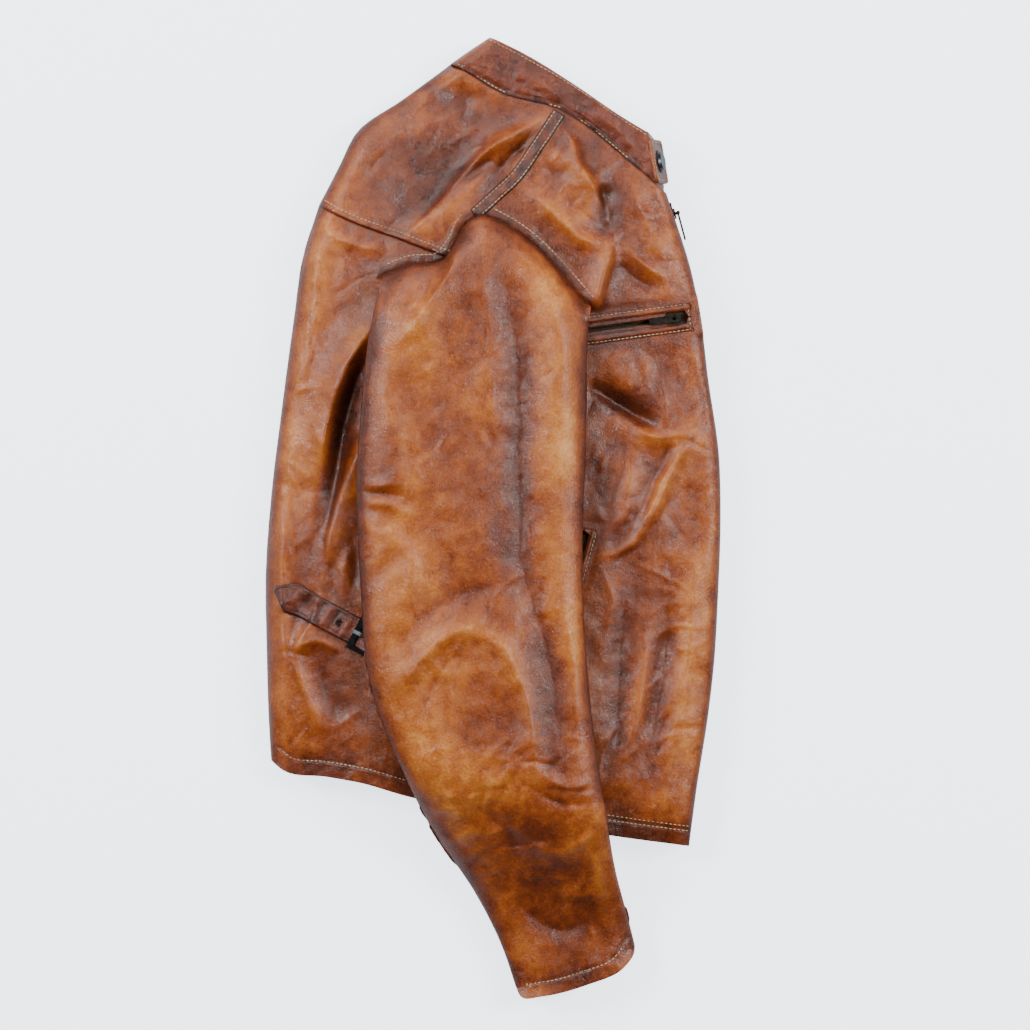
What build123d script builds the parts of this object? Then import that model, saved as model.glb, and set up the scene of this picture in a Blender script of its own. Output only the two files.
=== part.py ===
"""Leather riding jacket, folded in half down its back and laid on its left side.

+X runs from the folded back to the front zip, +Y from the hem to the collar and +Z up from the surface that
the jacket lies on. The origin is at the middle of the underside. Sizes are in millimetres.
"""

import os
from collections import namedtuple
from math import asin, atan2, cos, degrees, radians, sin, sqrt

from build123d import *

# Overall sizes of the folded jacket.
WIDTH = 390.0
LENGTH = 825.0
FOLD_Z = 26.0  # level of the back fold and of the front zip
EDGE_RISE = 16.0  # height of the body above and below FOLD_Z beside its edges
EDGE_ROUND = 10.0
FRONT_RADIUS = 1095.0  # the front edge is one long arc
FRONT_ARC_Y = -25.0

# Thickness of each material, and the gaps between layers.
LEATHER = 2.5
SLEEVE_LEATHER = 2.0
LINING = 0.8
LINING_DEPTH = 10.5  # the pocket bags hang between the leather and the lining
FACING = 1.4
SEAM_GAP = 0.3

# Zips: a row of teeth on each tape, with a thin web of the slider running between the rows.
ROW_GAP = 0.6  # from the middle of the zip to each row
ROW_WIDTH = 2.0
ROW_THICK = 2.0
TAPE_THICK = 0.8
SLIDER_PLATE = 1.0
SLIDER_LENGTH = 9.0
SLIDER_HALF = 4.0
SLIDER_CLEAR = 0.3
PULL_LENGTH = 24.0
FRONT_SLOT = 12.0
FRONT_TAPE = 10.0
CHEST_ZIP = 128.0
HAND_ZIP = 150.0
WINDOW_WIDTH = 26.0
WELT = 2.0
ZIP_DEPTH = 4.8  # from the outside of a welt to the middle of the tape

# Collar, its tab and the snap.
COLLAR_LEATHER = 2.2
COLLAR_RISE = 16.0  # half the thickness of the folded collar
TAB_THICK = 3.5
TAB_WIDTH = 38.0
SNAP_CAP_RADIUS = 10.0
SNAP_STUD_RADIUS = 2.0

# Waist adjusters: a strap sewn to the back, a buckle held by a sewn loop, and its prong.
STRAP_WIDTH = 23.0
STRAP_THICK = 2.2
STRAP_LENGTH = 91.0
STRAP_HEADING = 152.3
BUCKLE_BAR = 1.2
BUCKLE_RAIL = 3.0
EYELET_RADIUS = 1.9
EYELET_AT = 33.0

BASE_WIDTH, BASE_LENGTH = 390.0, 825.0
TALL = 120.0  # more than the height of the folded jacket
BACK_X = -WIDTH / 2
FRONT_ARC_X = WIDTH / 2 - FRONT_RADIUS


def at(x, y):
    """A point of the pattern, drawn for a jacket of the base size, moved to where this size puts it."""
    return (x * WIDTH / BASE_WIDTH, y * LENGTH / BASE_LENGTH)


def outline(*points):
    return [at(x, y) for x, y in points]


def save(part, name):
    part.label = name
    export_step(part, f"parts/{name}.step")


os.makedirs("parts", exist_ok=True)

# --- Seam lines of the body, from the back to the front -----------------------------------------------

HEM = outline((-230, -202), (-190, -211), (-69, -238), (-10, -249.4), (97, -270), (167, -279), (230, -290))
COLLAR_SEAM = outline((-90, 412), (-35, 388), (57, 348.5), (146, 280), (200, 238))
SHOULDER_POINT = at(-15, 257)
SIDE_SEAM_TOP = at(-10, 215)
YOKE_SEAM = outline((-230, 298), (-150, 264), (-83, 235))
HEM_FACING_WIDTH = 22.0

# --- Body sections: the folded body is a flattened tube, lofted through these from hem to neck --------

Station = namedtuple("Station", "y back under crown crown_z under_z")


def station(y, back, under, crown, crown_z, under_z):
    """back is the fold's x, under the hollow for the lower sleeve, and crown the flat top."""
    ratio = WIDTH / BASE_WIDTH
    return Station(
        y * LENGTH / BASE_LENGTH,
        back * ratio,
        (under[0] * ratio, under[1] * ratio),
        (crown[0] * ratio, crown[1] * ratio),
        crown_z,
        under_z,
    )


STATIONS = [
    station(-292, -189, (-42, 104), (-60, 30), 52, 18),
    station(-180, -192, (-64, 106), (-60, 30), 52, 18),
    station(-70, -195, (-76, 108), (-60, 30), 52, 18),
    station(60, -186, (-78, 106), (-60, 30), 52, 18),
    station(165, -174, (-74, 102), (-60, 30), 52, 18),
    station(264, -150, (-62, 90), (-50, 30), 52, 18),
    station(330, -118, (-30, 50), (-40, 30), 50, 14),
    station(395, -29, (0, 30), (-8, 30), 44, 12),
]


def front_edge(y):
    return FRONT_ARC_X + sqrt(FRONT_RADIUS**2 - (y - FRONT_ARC_Y) ** 2)


def section(s, inset):
    """The body's outline in the XZ plane at a station, drawn in by inset. body_core cuts the front arc."""
    wall = (EDGE_RISE - inset) / 2
    top, low = FOLD_Z + EDGE_RISE - inset, FOLD_Z - EDGE_RISE + inset
    front = front_edge(s.y) + EDGE_ROUND / 2
    corner = EDGE_ROUND + inset / 2
    return [
        (s.back + inset, FOLD_Z - wall),
        (s.back + inset, FOLD_Z + wall),
        (s.back + corner, top),
        (s.crown[0], s.crown_z - inset),
        (s.crown[1], s.crown_z - inset),
        (front - corner, top),
        (front, FOLD_Z + wall),
        (front, FOLD_Z - wall),
        (front - corner, low),
        (s.under[1], s.under_z + inset),
        (s.under[0], s.under_z + inset),
        (s.back + corner, low),
    ]


def body_core(inset):
    """The solid inside the body's surface, drawn in by inset."""
    with BuildPart() as core:
        for s in STATIONS:
            with BuildSketch(Plane((0, s.y, 0), x_dir=(1, 0, 0), z_dir=(0, -1, 0))):
                with BuildLine():
                    Polyline(*section(s, inset), close=True)
                make_face()
        loft(ruled=True)
        with BuildSketch(Plane.XY):
            with Locations((FRONT_ARC_X, FRONT_ARC_Y)):
                Circle(FRONT_RADIUS - inset)
        extrude(amount=TALL, mode=Mode.INTERSECT)
    return core.part


def body_shell(outer, inner):
    return body_core(outer) - body_core(inner)


def prism(points, low=0.0, high=TALL):
    with BuildPart() as block:
        with BuildSketch(Plane.XY.offset(low)):
            with BuildLine():
                Polyline(*points, close=True)
            make_face()
        extrude(amount=high - low)
    return block.part


def surface_z(x, y, upper):
    """Height of the body's upper or lower surface."""
    after = next(i for i, s in enumerate(STATIONS) if s.y >= y)
    a, b = STATIONS[after - 1], STATIONS[after]
    share = (y - a.y) / (b.y - a.y)
    points = [
        (p[0] + share * (q[0] - p[0]), p[1] + share * (q[1] - p[1]))
        for p, q in zip(section(a, 0), section(b, 0))
    ]
    chain = points[2:6] if upper else points[11:7:-1]
    for p, q in zip(chain, chain[1:]):
        if x <= q[0] or q is chain[-1]:
            return p[1] + (x - p[0]) / (q[0] - p[0]) * (q[1] - p[1])


def surface_plane(point, heading, upper):
    """A plane on the body's surface, with x along heading in degrees and z out of the jacket."""
    x, y = point
    step = 8.0
    slope_x = (surface_z(x + step, y, upper) - surface_z(x - step, y, upper)) / (2 * step)
    slope_y = (surface_z(x, y + step, upper) - surface_z(x, y - step, upper)) / (2 * step)
    out = 1 if upper else -1
    c, s = cos(radians(heading)), sin(radians(heading))
    return Plane(
        origin=(x, y, surface_z(x, y, upper)),
        x_dir=(c, s, slope_x * c + slope_y * s),
        z_dir=(-slope_x * out, -slope_y * out, out),
    )


# --- Where the pockets and the waist adjusters sit ----------------------------------------------------

CHEST_PLANE = surface_plane(at(102, 162.5), 8.0, True)
HAND_HEADING = 74.0
HAND_POINT = at(56, -84)
HAND_PLANES = {
    "right": surface_plane(HAND_POINT, HAND_HEADING, True),
    "left": surface_plane(HAND_POINT, HAND_HEADING, False),
}
BUCKLE_POINT = at(-101.4, -104.4)
WAIST_PLANES = {
    "right": surface_plane(BUCKLE_POINT, STRAP_HEADING, True),
    "left": surface_plane(BUCKLE_POINT, STRAP_HEADING, False),
}
ARMHOLE = at(8, 183)
ARMHOLE_SIZE = (58.0, 26.0)


def pocket_window(plane, length):
    """The hole in a panel that a pocket's welt fills."""
    with BuildPart() as window:
        with BuildSketch(plane.offset(-EDGE_ROUND)):
            Rectangle(length + 8, WINDOW_WIDTH)
        extrude(amount=2 * EDGE_ROUND)
    return window.part


def armhole(low, high):
    with BuildPart() as hole:
        with BuildSketch(Plane.XY.offset(low)):
            with Locations(ARMHOLE):
                Ellipse(*ARMHOLE_SIZE)
        extrude(amount=high - low)
    return hole.part


# --- Leather body panels ------------------------------------------------------------------------------

leather_shell = body_shell(0, LEATHER)
both_armholes = armhole(0, TALL)

with BuildPart() as back_yoke:
    add(leather_shell)
    add(
        prism([at(-230, 470), *COLLAR_SEAM[:3], SHOULDER_POINT, SIDE_SEAM_TOP, *YOKE_SEAM[::-1]]),
        mode=Mode.INTERSECT,
    )
save(back_yoke.part, "back_yoke")

with BuildPart() as back_panel:
    add(leather_shell)
    add(prism([*YOKE_SEAM, SIDE_SEAM_TOP, *HEM[3::-1]]), mode=Mode.INTERSECT)
    add(both_armholes, mode=Mode.SUBTRACT)
save(back_panel.part, "back_panel")

FRONT_OUTLINE = [*COLLAR_SEAM[2:], *HEM[:2:-1], SIDE_SEAM_TOP, SHOULDER_POINT]

with BuildPart() as front_panel_right:
    add(leather_shell)
    add(prism(FRONT_OUTLINE, FOLD_Z + FRONT_SLOT / 2, TALL), mode=Mode.INTERSECT)
    add(both_armholes, mode=Mode.SUBTRACT)
    add(pocket_window(CHEST_PLANE, CHEST_ZIP), mode=Mode.SUBTRACT)
    add(pocket_window(HAND_PLANES["right"], HAND_ZIP), mode=Mode.SUBTRACT)
save(front_panel_right.part, "front_panel_right")

with BuildPart() as front_panel_left:
    add(leather_shell)
    add(prism(FRONT_OUTLINE, 0, FOLD_Z - FRONT_SLOT / 2), mode=Mode.INTERSECT)
    add(both_armholes, mode=Mode.SUBTRACT)
    add(pocket_window(HAND_PLANES["left"], HAND_ZIP), mode=Mode.SUBTRACT)
save(front_panel_left.part, "front_panel_left")

# --- Hem facing and body lining, both open down the front ---------------------------------------------


def hem_line(rise):
    return [(x, y + rise) for x, y in HEM]


def inside_front(margin):
    """Everything further than margin behind the front edge."""
    with BuildPart() as disc:
        with BuildSketch(Plane.XY):
            with Locations((FRONT_ARC_X, FRONT_ARC_Y)):
                Circle(FRONT_RADIUS - margin)
        extrude(amount=TALL)
    return disc.part


with BuildPart() as hem_facing:
    add(body_shell(LEATHER + SEAM_GAP, LEATHER + SEAM_GAP + FACING))
    add(prism([*hem_line(1), *hem_line(HEM_FACING_WIDTH)[::-1]]), mode=Mode.INTERSECT)
    add(inside_front(LEATHER + 7), mode=Mode.INTERSECT)
save(hem_facing.part, "hem_facing")

with BuildPart() as body_lining:
    add(body_shell(LINING_DEPTH, LINING_DEPTH + LINING))
    add(prism([*hem_line(HEM_FACING_WIDTH + 2), *COLLAR_SEAM[::-1], at(-230, 470)]), mode=Mode.INTERSECT)
    add(inside_front(LINING_DEPTH + 4), mode=Mode.INTERSECT)
    add(both_armholes, mode=Mode.SUBTRACT)
save(body_lining.part, "body_lining")

# --- Sleeves: a two-piece tube each, the right one on top of the body and the left one under it -------

SleeveStation = namedtuple("SleeveStation", "y left right low high")


def sleeve_station(y, left, right, low, high):
    ratio = WIDTH / BASE_WIDTH
    return SleeveStation(y * LENGTH / BASE_LENGTH, left * ratio, right * ratio, low, high)


SLEEVES = {
    "right": [
        sleeve_station(262, -95, 90, 53, 66),
        sleeve_station(160, -103, 82, 58, 82),
        sleeve_station(60, -113, 77, 62, 89),
        sleeve_station(-70, -112, 78, 62, 90),
        sleeve_station(-190, -84, 87, 62, 88),
        sleeve_station(-270, -51, 99, 58, 82),
        sleeve_station(-345, -9, 116, 30, 54),
        sleeve_station(-425, 30, 139, 18, 42),
    ],
    "left": [
        sleeve_station(262, -58, 86, 0, 14),
        sleeve_station(160, -70, 98, 0, 14),
        sleeve_station(60, -74, 102, 0, 14),
        sleeve_station(-70, -72, 104, 0, 14),
        sleeve_station(-190, -56, 102, 0, 14),
        sleeve_station(-270, -38, 96, 0, 14),
        sleeve_station(-345, 0, 110, 0, 14),
        sleeve_station(-425, 36, 130, 0, 14),
    ],
}
ARMHOLE_SEAM = [
    *outline((-140, 203), (-89, 213), (-38, 225), (-15, 256), (12, 251)),
    *outline((34, 239), (58, 216), (84, 181), (120, 130)),
]
CUFF_LINE = outline((0, -422.7), (150, -352))
CUFF_FACING_WIDTH = 30.0
UNDER_SLEEVE_TOP = 150.0
TUBE_SHOULDER = 32.0
TUBE_CORNER = 7.0


def half_tube(s, inset, upper):
    """Half the outline of a sleeve's section, from its edge seams up to its top or down to its underside."""
    middle = (s.low + s.high) / 2
    rim = s.high - inset if upper else s.low + inset
    lip = rim - 0.3 * (rim - middle)
    return [
        (s.left + inset, middle),
        (s.left + TUBE_CORNER + inset, lip),
        (s.left + TUBE_SHOULDER, rim),
        (s.right - TUBE_SHOULDER, rim),
        (s.right - TUBE_CORNER - inset, lip),
        (s.right - inset, middle),
    ]


def loft_outlines(outlines, stations):
    with BuildPart() as solid:
        for points, s in zip(outlines, stations):
            with BuildSketch(Plane((0, s.y, 0), x_dir=(1, 0, 0), z_dir=(0, -1, 0))):
                with BuildLine():
                    Polyline(*points, close=True)
                make_face()
        loft(ruled=True)
    return solid.part


def sleeve_piece(stations, upper, region):
    """One leather piece of a sleeve: the half tube above or below its edge seams, inside region."""
    sections = [half_tube(s, 0, upper) + half_tube(s, SLEEVE_LEATHER, upper)[::-1] for s in stations]
    return loft_outlines(sections, stations) & region


def sleeve_core(stations, inset):
    outlines = [half_tube(s, inset, True) + half_tube(s, inset, False)[-2:0:-1] for s in stations]
    return loft_outlines(outlines, stations)


def sleeve_region(top, cuff_rise):
    (x0, y0), (x1, y1) = CUFF_LINE
    return prism([*top, (x1, -LENGTH / 3), (x1, y1 + cuff_rise), (x0, y0 + cuff_rise), at(-140, -300)])


for side, cuff_rise in (("right", 0.0), ("left", 6.0)):
    stations = SLEEVES[side]
    full = sleeve_region(ARMHOLE_SEAM, cuff_rise)
    short = sleeve_region([(-WIDTH / 2, UNDER_SLEEVE_TOP), (WIDTH / 2, UNDER_SLEEVE_TOP)], cuff_rise)
    outward = side == "right"
    save(sleeve_piece(stations, outward, full), f"{side}_sleeve_top")
    save(sleeve_piece(stations, not outward, short), f"{side}_sleeve_under")
    inner = SLEEVE_LEATHER + SEAM_GAP
    above_facing = [(-WIDTH / 2, UNDER_SLEEVE_TOP + 1), (WIDTH / 2, UNDER_SLEEVE_TOP + 1)]
    facing_region = short - sleeve_region(above_facing, cuff_rise + CUFF_FACING_WIDTH)
    facing = (sleeve_core(stations, inner) - sleeve_core(stations, inner + FACING)) & facing_region
    save(facing, f"{side}_cuff_facing")
    lining_region = sleeve_region(
        [(-WIDTH / 2, UNDER_SLEEVE_TOP), (WIDTH / 2, UNDER_SLEEVE_TOP)], cuff_rise + CUFF_FACING_WIDTH + 1
    )
    lining = (sleeve_core(stations, inner) - sleeve_core(stations, inner + LINING)) & lining_region
    save(lining, f"{side}_sleeve_lining")

# --- Shoulder seam strips -----------------------------------------------------------------------------

STRIP_WIDTH = 12.0
STRIP_THICK = 2.2
STRIP_LIFT = 2.4
STRIP_START, STRIP_END = at(52, 338), at(-13, 260)
STRIP_MIDDLE = at(19.5, 299)

strip_run = Vector(*STRIP_END) - Vector(*STRIP_START)
strip_heading = degrees(atan2(strip_run.Y, strip_run.X))
for side, upper in (("right", True), ("left", False)):
    with BuildPart() as strip:
        with BuildSketch(surface_plane(STRIP_MIDDLE, strip_heading, upper).offset(STRIP_LIFT)):
            RectangleRounded(strip_run.length, STRIP_WIDTH, 2)
        extrude(amount=STRIP_THICK)
    save(strip.part, f"shoulder_strip_{side}")

# --- Collar: a band folded at the back, whose right end turns down behind the tab ---------------------

COLLAR_SEAM_CHORD = at(-52, 380), at(152, 262)
COLLAR_TOP_CHORD = at(-3, 412), at(141, 326)
COLLAR_TOP_EDGE = outline((141, 326), (110, 347), (73, 371), (30, 397), (-3, 412))
COLLAR_CORNER = 8.0
FRONT_LEAN = 14.0
COLLAR_GAP = 0.4


def collar_points(run, inset):
    """The band's outline across itself, drawn in by inset. run is its flattened length."""
    wall = (COLLAR_RISE - inset) / 2
    corner = COLLAR_CORNER + inset / 2
    low, high = FOLD_Z - COLLAR_RISE + inset, FOLD_Z + COLLAR_RISE - inset
    return [
        (inset, FOLD_Z - wall),
        (inset, FOLD_Z + wall),
        (corner, high),
        (run - FRONT_LEAN - inset, high),
        (run - inset, low),
        (corner, low),
    ]


def collar_core(inset):
    with BuildPart() as core:
        for back, front in (COLLAR_SEAM_CHORD, COLLAR_TOP_CHORD):
            run = Vector(*front) - Vector(*back)
            with BuildSketch(Plane(origin=(*back, 0), x_dir=run, z_dir=(run.Y, -run.X, 0))):
                with BuildLine():
                    Polyline(*collar_points(run.length, inset), close=True)
                make_face()
        loft(ruled=True)
    return core.part


def collar_band(outer, inner, region):
    return (collar_core(outer) - collar_core(inner)) & region


collar_region = prism([*[(x, y + COLLAR_GAP) for x, y in COLLAR_SEAM], *COLLAR_TOP_EDGE, at(-90, 470)])
collar_slot = prism(outline((120, 200), (190, 200), (190, 380), (110, 380)), 0, FOLD_Z - COLLAR_RISE + 5)
save(collar_band(0, COLLAR_LEATHER, collar_region) - collar_slot, "collar_outer")
lining_start = COLLAR_LEATHER + SEAM_GAP
save(collar_band(lining_start, lining_start + FACING, collar_region) - collar_slot, "collar_inner")

# --- Collar tab and its snap --------------------------------------------------------------------------

foot, head = Vector(*COLLAR_SEAM_CHORD[1]), Vector(*COLLAR_TOP_CHORD[1])
top_run = foot - Vector(*COLLAR_SEAM_CHORD[0])
tab_up = (head - foot).normalized()
slope = Vector(0, 0, 2 * COLLAR_RISE) - top_run.normalized() * FRONT_LEAN
tab_out = tab_up.cross(slope).normalized()
TAB_LENGTH = slope.length - 1
tab_middle = foot + tab_up * 40 + Vector(0, 0, FOLD_Z - COLLAR_RISE) + slope / 2
tab_plane = Plane(origin=tab_middle + tab_out * 0.5, x_dir=tab_up, z_dir=tab_out)
SNAP_HOLE_RADIUS = 4.0
SOCKET_DEPTH = 2.0

with BuildPart() as collar_tab:
    with BuildSketch(tab_plane):
        RectangleRounded(TAB_WIDTH, TAB_LENGTH, 5)
        Circle(SNAP_HOLE_RADIUS, mode=Mode.SUBTRACT)
    extrude(amount=TAB_THICK)
save(collar_tab.part, "collar_tab")

with BuildPart() as snap_cap:
    with BuildSketch(tab_plane.offset(TAB_THICK)):
        Circle(SNAP_CAP_RADIUS)
    extrude(amount=1.0)
    with BuildSketch(tab_plane.offset(TAB_THICK + 1.0)):
        Circle(SNAP_CAP_RADIUS - 1.2)
    extrude(amount=2.0, taper=40)
    with BuildSketch(tab_plane.offset(SOCKET_DEPTH)):
        Circle(SNAP_HOLE_RADIUS - 0.8)
    extrude(amount=TAB_THICK - SOCKET_DEPTH)
save(snap_cap.part, "snap_cap")

with BuildPart() as snap_socket:
    with BuildSketch(tab_plane):
        Circle(SNAP_HOLE_RADIUS)
        Circle(SNAP_STUD_RADIUS + 0.7, mode=Mode.SUBTRACT)
    extrude(amount=SOCKET_DEPTH)
save(snap_socket.part, "snap_socket")

with BuildPart() as snap_stud:
    with BuildSketch(tab_plane.offset(-0.35)):
        Circle(SNAP_STUD_RADIUS)
    extrude(amount=1.6)
save(snap_stud.part, "snap_stud")

# --- Hanger loop inside the neck ----------------------------------------------------------------------

LOOP_OUTLINE = outline((-12, 356), (28, 338), (34, 350), (-6, 368))
LOOP_HOLE = outline((-8, 357.5), (26, 342), (30, 348.5), (-4, 364))
LOOP_LOW, LOOP_HIGH = FOLD_Z + 1, FOLD_Z + 7
save(prism(LOOP_OUTLINE, LOOP_LOW, LOOP_HIGH) - prism(LOOP_HOLE, LOOP_LOW, LOOP_HIGH), "hanger_loop")

# --- Slider and puller of every zip. x runs to the closed end of the zip and z out of the jacket ---

PLATE_START = ROW_THICK / 2 + SLIDER_CLEAR
PIN_RADIUS = 0.7
EYE_RADIUS = 1.7
LUG_HALF = 1.0
ARM_START = LUG_HALF + 0.35
PULL_HALF = 3.0
PULL_THICK = 1.4


def across_plane(plane, rise, offset):
    """A plane across the zip, at rise above it and offset along its y, with z back along y."""
    return Plane(origin=plane.from_local_coords((0, offset, rise)), x_dir=plane.x_dir, z_dir=plane.y_dir)


def slider(plane, rise):
    with BuildPart() as body:
        for start in (PLATE_START, -PLATE_START - SLIDER_PLATE):
            with BuildSketch(plane.offset(start)):
                RectangleRounded(SLIDER_LENGTH, 2 * SLIDER_HALF, 2)
            extrude(amount=SLIDER_PLATE)
        with BuildSketch(plane.offset(-PLATE_START)):
            Rectangle(3, 2 * (ROW_GAP - SLIDER_CLEAR))
        extrude(amount=2 * PLATE_START)
        with BuildSketch(plane.offset(PLATE_START + SLIDER_PLATE)):
            Rectangle(2.4, 2 * LUG_HALF)
        extrude(amount=rise + PIN_RADIUS + 0.4 - PLATE_START - SLIDER_PLATE)
        with BuildSketch(across_plane(plane, rise, -PULL_HALF)):
            Circle(PIN_RADIUS)
        extrude(amount=2 * PULL_HALF)
    return body.part


def puller(plane, rise):
    with BuildPart() as pull:
        with BuildSketch(plane.offset(rise - PULL_THICK / 2)):
            with Locations((-PULL_LENGTH / 2, 0)):
                RectangleRounded(PULL_LENGTH, 2 * PULL_HALF, 1.2)
            Rectangle(8, 2 * ARM_START, mode=Mode.SUBTRACT)
        extrude(amount=PULL_THICK)
        for start in (-PULL_HALF, ARM_START):
            with BuildSketch(across_plane(plane, rise, start)):
                Circle(EYE_RADIUS)
            extrude(amount=PULL_HALF - ARM_START)
        with BuildSketch(across_plane(plane, rise, -PULL_HALF)):
            Circle(PIN_RADIUS + 0.35)
        extrude(amount=2 * PULL_HALF, mode=Mode.SUBTRACT)
    return pull.part


# --- Front zip, along the arc of the front edge -------------------------------------------------------

ZIP_RADIUS = FRONT_RADIUS - LEATHER - SEAM_GAP - TAPE_THICK / 2
ZIP_BOTTOM_Y, ZIP_TOP_Y = -264 * LENGTH / BASE_LENGTH, 270 * LENGTH / BASE_LENGTH
FRONT_PULL_RISE = 4.6
STOP_ANGLE = 0.16


def front_angle(y):
    return degrees(asin((y - FRONT_ARC_Y) / ZIP_RADIUS))


def arc_band(thick, span, low, high):
    """A band along the front edge, between two angles and two heights."""
    with BuildPart() as band:
        with BuildSketch(Plane.XY.offset(low)):
            with BuildLine():
                centre = (FRONT_ARC_X, FRONT_ARC_Y)
                outer = CenterArc(centre, ZIP_RADIUS + thick / 2, span[0], span[1] - span[0])
                inner = CenterArc(centre, ZIP_RADIUS - thick / 2, span[0], span[1] - span[0])
                Line(outer @ 0, inner @ 0)
                Line(outer @ 1, inner @ 1)
            make_face()
        extrude(amount=high - low)
    return band.part


zip_span = (front_angle(ZIP_BOTTOM_Y), front_angle(ZIP_TOP_Y))
box_span = (zip_span[0], zip_span[0] + 5 * STOP_ANGLE)
row_span = (box_span[1] + 0.02, zip_span[1] - STOP_ANGLE - 0.02)
stop_span = (zip_span[1] - STOP_ANGLE, zip_span[1])
ROW_FAR = ROW_GAP + ROW_WIDTH

for side, sign in (("right", 1), ("left", -1)):
    tape_z = sorted((FOLD_Z + sign * ROW_FAR, FOLD_Z + sign * FRONT_TAPE))
    row_z = sorted((FOLD_Z + sign * ROW_GAP, FOLD_Z + sign * ROW_FAR))
    save(arc_band(TAPE_THICK, zip_span, *tape_z), f"front_zip_tape_{side}")
    save(arc_band(ROW_THICK, row_span, *row_z), f"front_zip_teeth_{side}")

right_stop = arc_band(ROW_THICK, stop_span, FOLD_Z + ROW_GAP, FOLD_Z + ROW_FAR)
left_stop = arc_band(ROW_THICK, stop_span, FOLD_Z - ROW_FAR, FOLD_Z - ROW_GAP)
save(Compound(children=[right_stop, left_stop]), "front_zip_top_stops")
save(arc_band(ROW_THICK, box_span, FOLD_Z - ROW_FAR, FOLD_Z + ROW_GAP - 0.3), "front_zip_box")
save(arc_band(ROW_THICK, box_span, FOLD_Z + ROW_GAP, FOLD_Z + ROW_FAR), "front_zip_pin")

home_angle = radians(row_span[1] - 0.35)
home_out = Vector(cos(home_angle), sin(home_angle), 0)
home_point = Vector(FRONT_ARC_X, FRONT_ARC_Y, FOLD_Z) + home_out * ZIP_RADIUS
FRONT_ZIP_PLANE = Plane(origin=home_point, x_dir=(-home_out.Y, home_out.X, 0), z_dir=home_out)
save(slider(FRONT_ZIP_PLANE, FRONT_PULL_RISE), "front_zip_slider")
save(puller(FRONT_ZIP_PLANE, FRONT_PULL_RISE), "front_zip_puller")

# --- Zipped pockets: a welt with a narrow slit over the zip, and a bag below it -----------------------

POCKET_TAPE = 11.0
POCKET_PULL_RISE = ZIP_DEPTH + EYE_RADIUS + 0.35
SLIT_HALF = LUG_HALF + 0.5
BAG_START, BAG_END, BAG_WALL = 7.7, 10.2, 0.6
BAG_SPLIT = FOLD_Z + 4  # between the bags of the two sides
bag_outer = body_shell(BAG_START, BAG_END)
bag_inner = body_shell(BAG_START + BAG_WALL, BAG_END - BAG_WALL)


def plane_box(plane, centre, size, low, high):
    """A box standing on a plane: centre and size across it, low and high along its normal."""
    with BuildPart() as box:
        with BuildSketch(plane.offset(low)):
            with Locations(centre):
                Rectangle(*size)
        extrude(amount=high - low)
    return box.part


def zipped_pocket(name, plane, length, upper, bag):
    home = length / 2 - SLIDER_LENGTH
    slit = plane_box(plane, (0, 0), (length, 2 * SLIT_HALF), -WELT, 0)
    mouth = plane_box(plane, (home, 0), (2 * SLIDER_LENGTH, 2 * SLIDER_HALF + 1), -WELT, 0)
    welt = plane_box(plane, (0, 0), (length + 7.4, WINDOW_WIDTH - 0.6), -WELT, 0)
    save(welt - slit - mouth, f"{name}_welt")
    zip_plane = plane.offset(-ZIP_DEPTH)
    tape_half = (POCKET_TAPE - ROW_FAR) / 2
    tapes, rows = [], []
    for sign in (1, -1):
        tapes.append(
            plane_box(
                zip_plane,
                (0, sign * (ROW_FAR + tape_half)),
                (length + 6, 2 * tape_half),
                -TAPE_THICK / 2,
                TAPE_THICK / 2,
            )
        )
        row_y = sign * (ROW_GAP + ROW_WIDTH / 2)
        rows.append(plane_box(zip_plane, (0, row_y), (length, ROW_WIDTH), -ROW_THICK / 2, ROW_THICK / 2))
    save(Compound(children=tapes), f"{name}_tape")
    save(Compound(children=rows), f"{name}_teeth")
    home_plane = Plane(
        origin=zip_plane.from_local_coords((home, 0, 0)), x_dir=zip_plane.x_dir, z_dir=zip_plane.z_dir
    )
    save(slider(home_plane, POCKET_PULL_RISE), f"{name}_slider")
    save(puller(home_plane, POCKET_PULL_RISE), f"{name}_puller")
    half = prism(bag, BAG_SPLIT, TALL) if upper else prism(bag, 0, BAG_SPLIT)
    bag_mouth = plane_box(plane, (0, 0), (length - 4, 2 * SLIDER_HALF + 2), -BAG_END + BAG_WALL, 0)
    hollow = bag_inner & offset(half, -BAG_WALL)
    save((bag_outer & half) - hollow - bag_mouth, f"{name}_bag")


CHEST_BAG = outline((34, 166), (168, 185), (172, 60), (48, 50))
HAND_BAG = outline((26, -170), (62, 0), (104, -6), (100, -178))
zipped_pocket("chest_pocket", CHEST_PLANE, CHEST_ZIP, True, CHEST_BAG)
zipped_pocket("hand_pocket_right", HAND_PLANES["right"], HAND_ZIP, True, HAND_BAG)
zipped_pocket("hand_pocket_left", HAND_PLANES["left"], HAND_ZIP, False, HAND_BAG)

# --- Waist adjusters. x runs from the buckle's pivot bar to the sewn tip of the strap -----------------

LOOP_LEATHER = 1.2
STRAP_BASE = 0.5  # the surface under the strap is slightly twisted
PIVOT_RISE = BUCKLE_BAR + 0.25 + LOOP_LEATHER + STRAP_BASE
LOOP_OUT = BUCKLE_BAR + 0.25 + LOOP_LEATHER
PRONG_RADIUS = 0.7
PRONG_HALF = 1.5
FRAME_HALF = STRAP_WIDTH / 2 + 0.8
LOOP_WIDTH = 20.0


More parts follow.
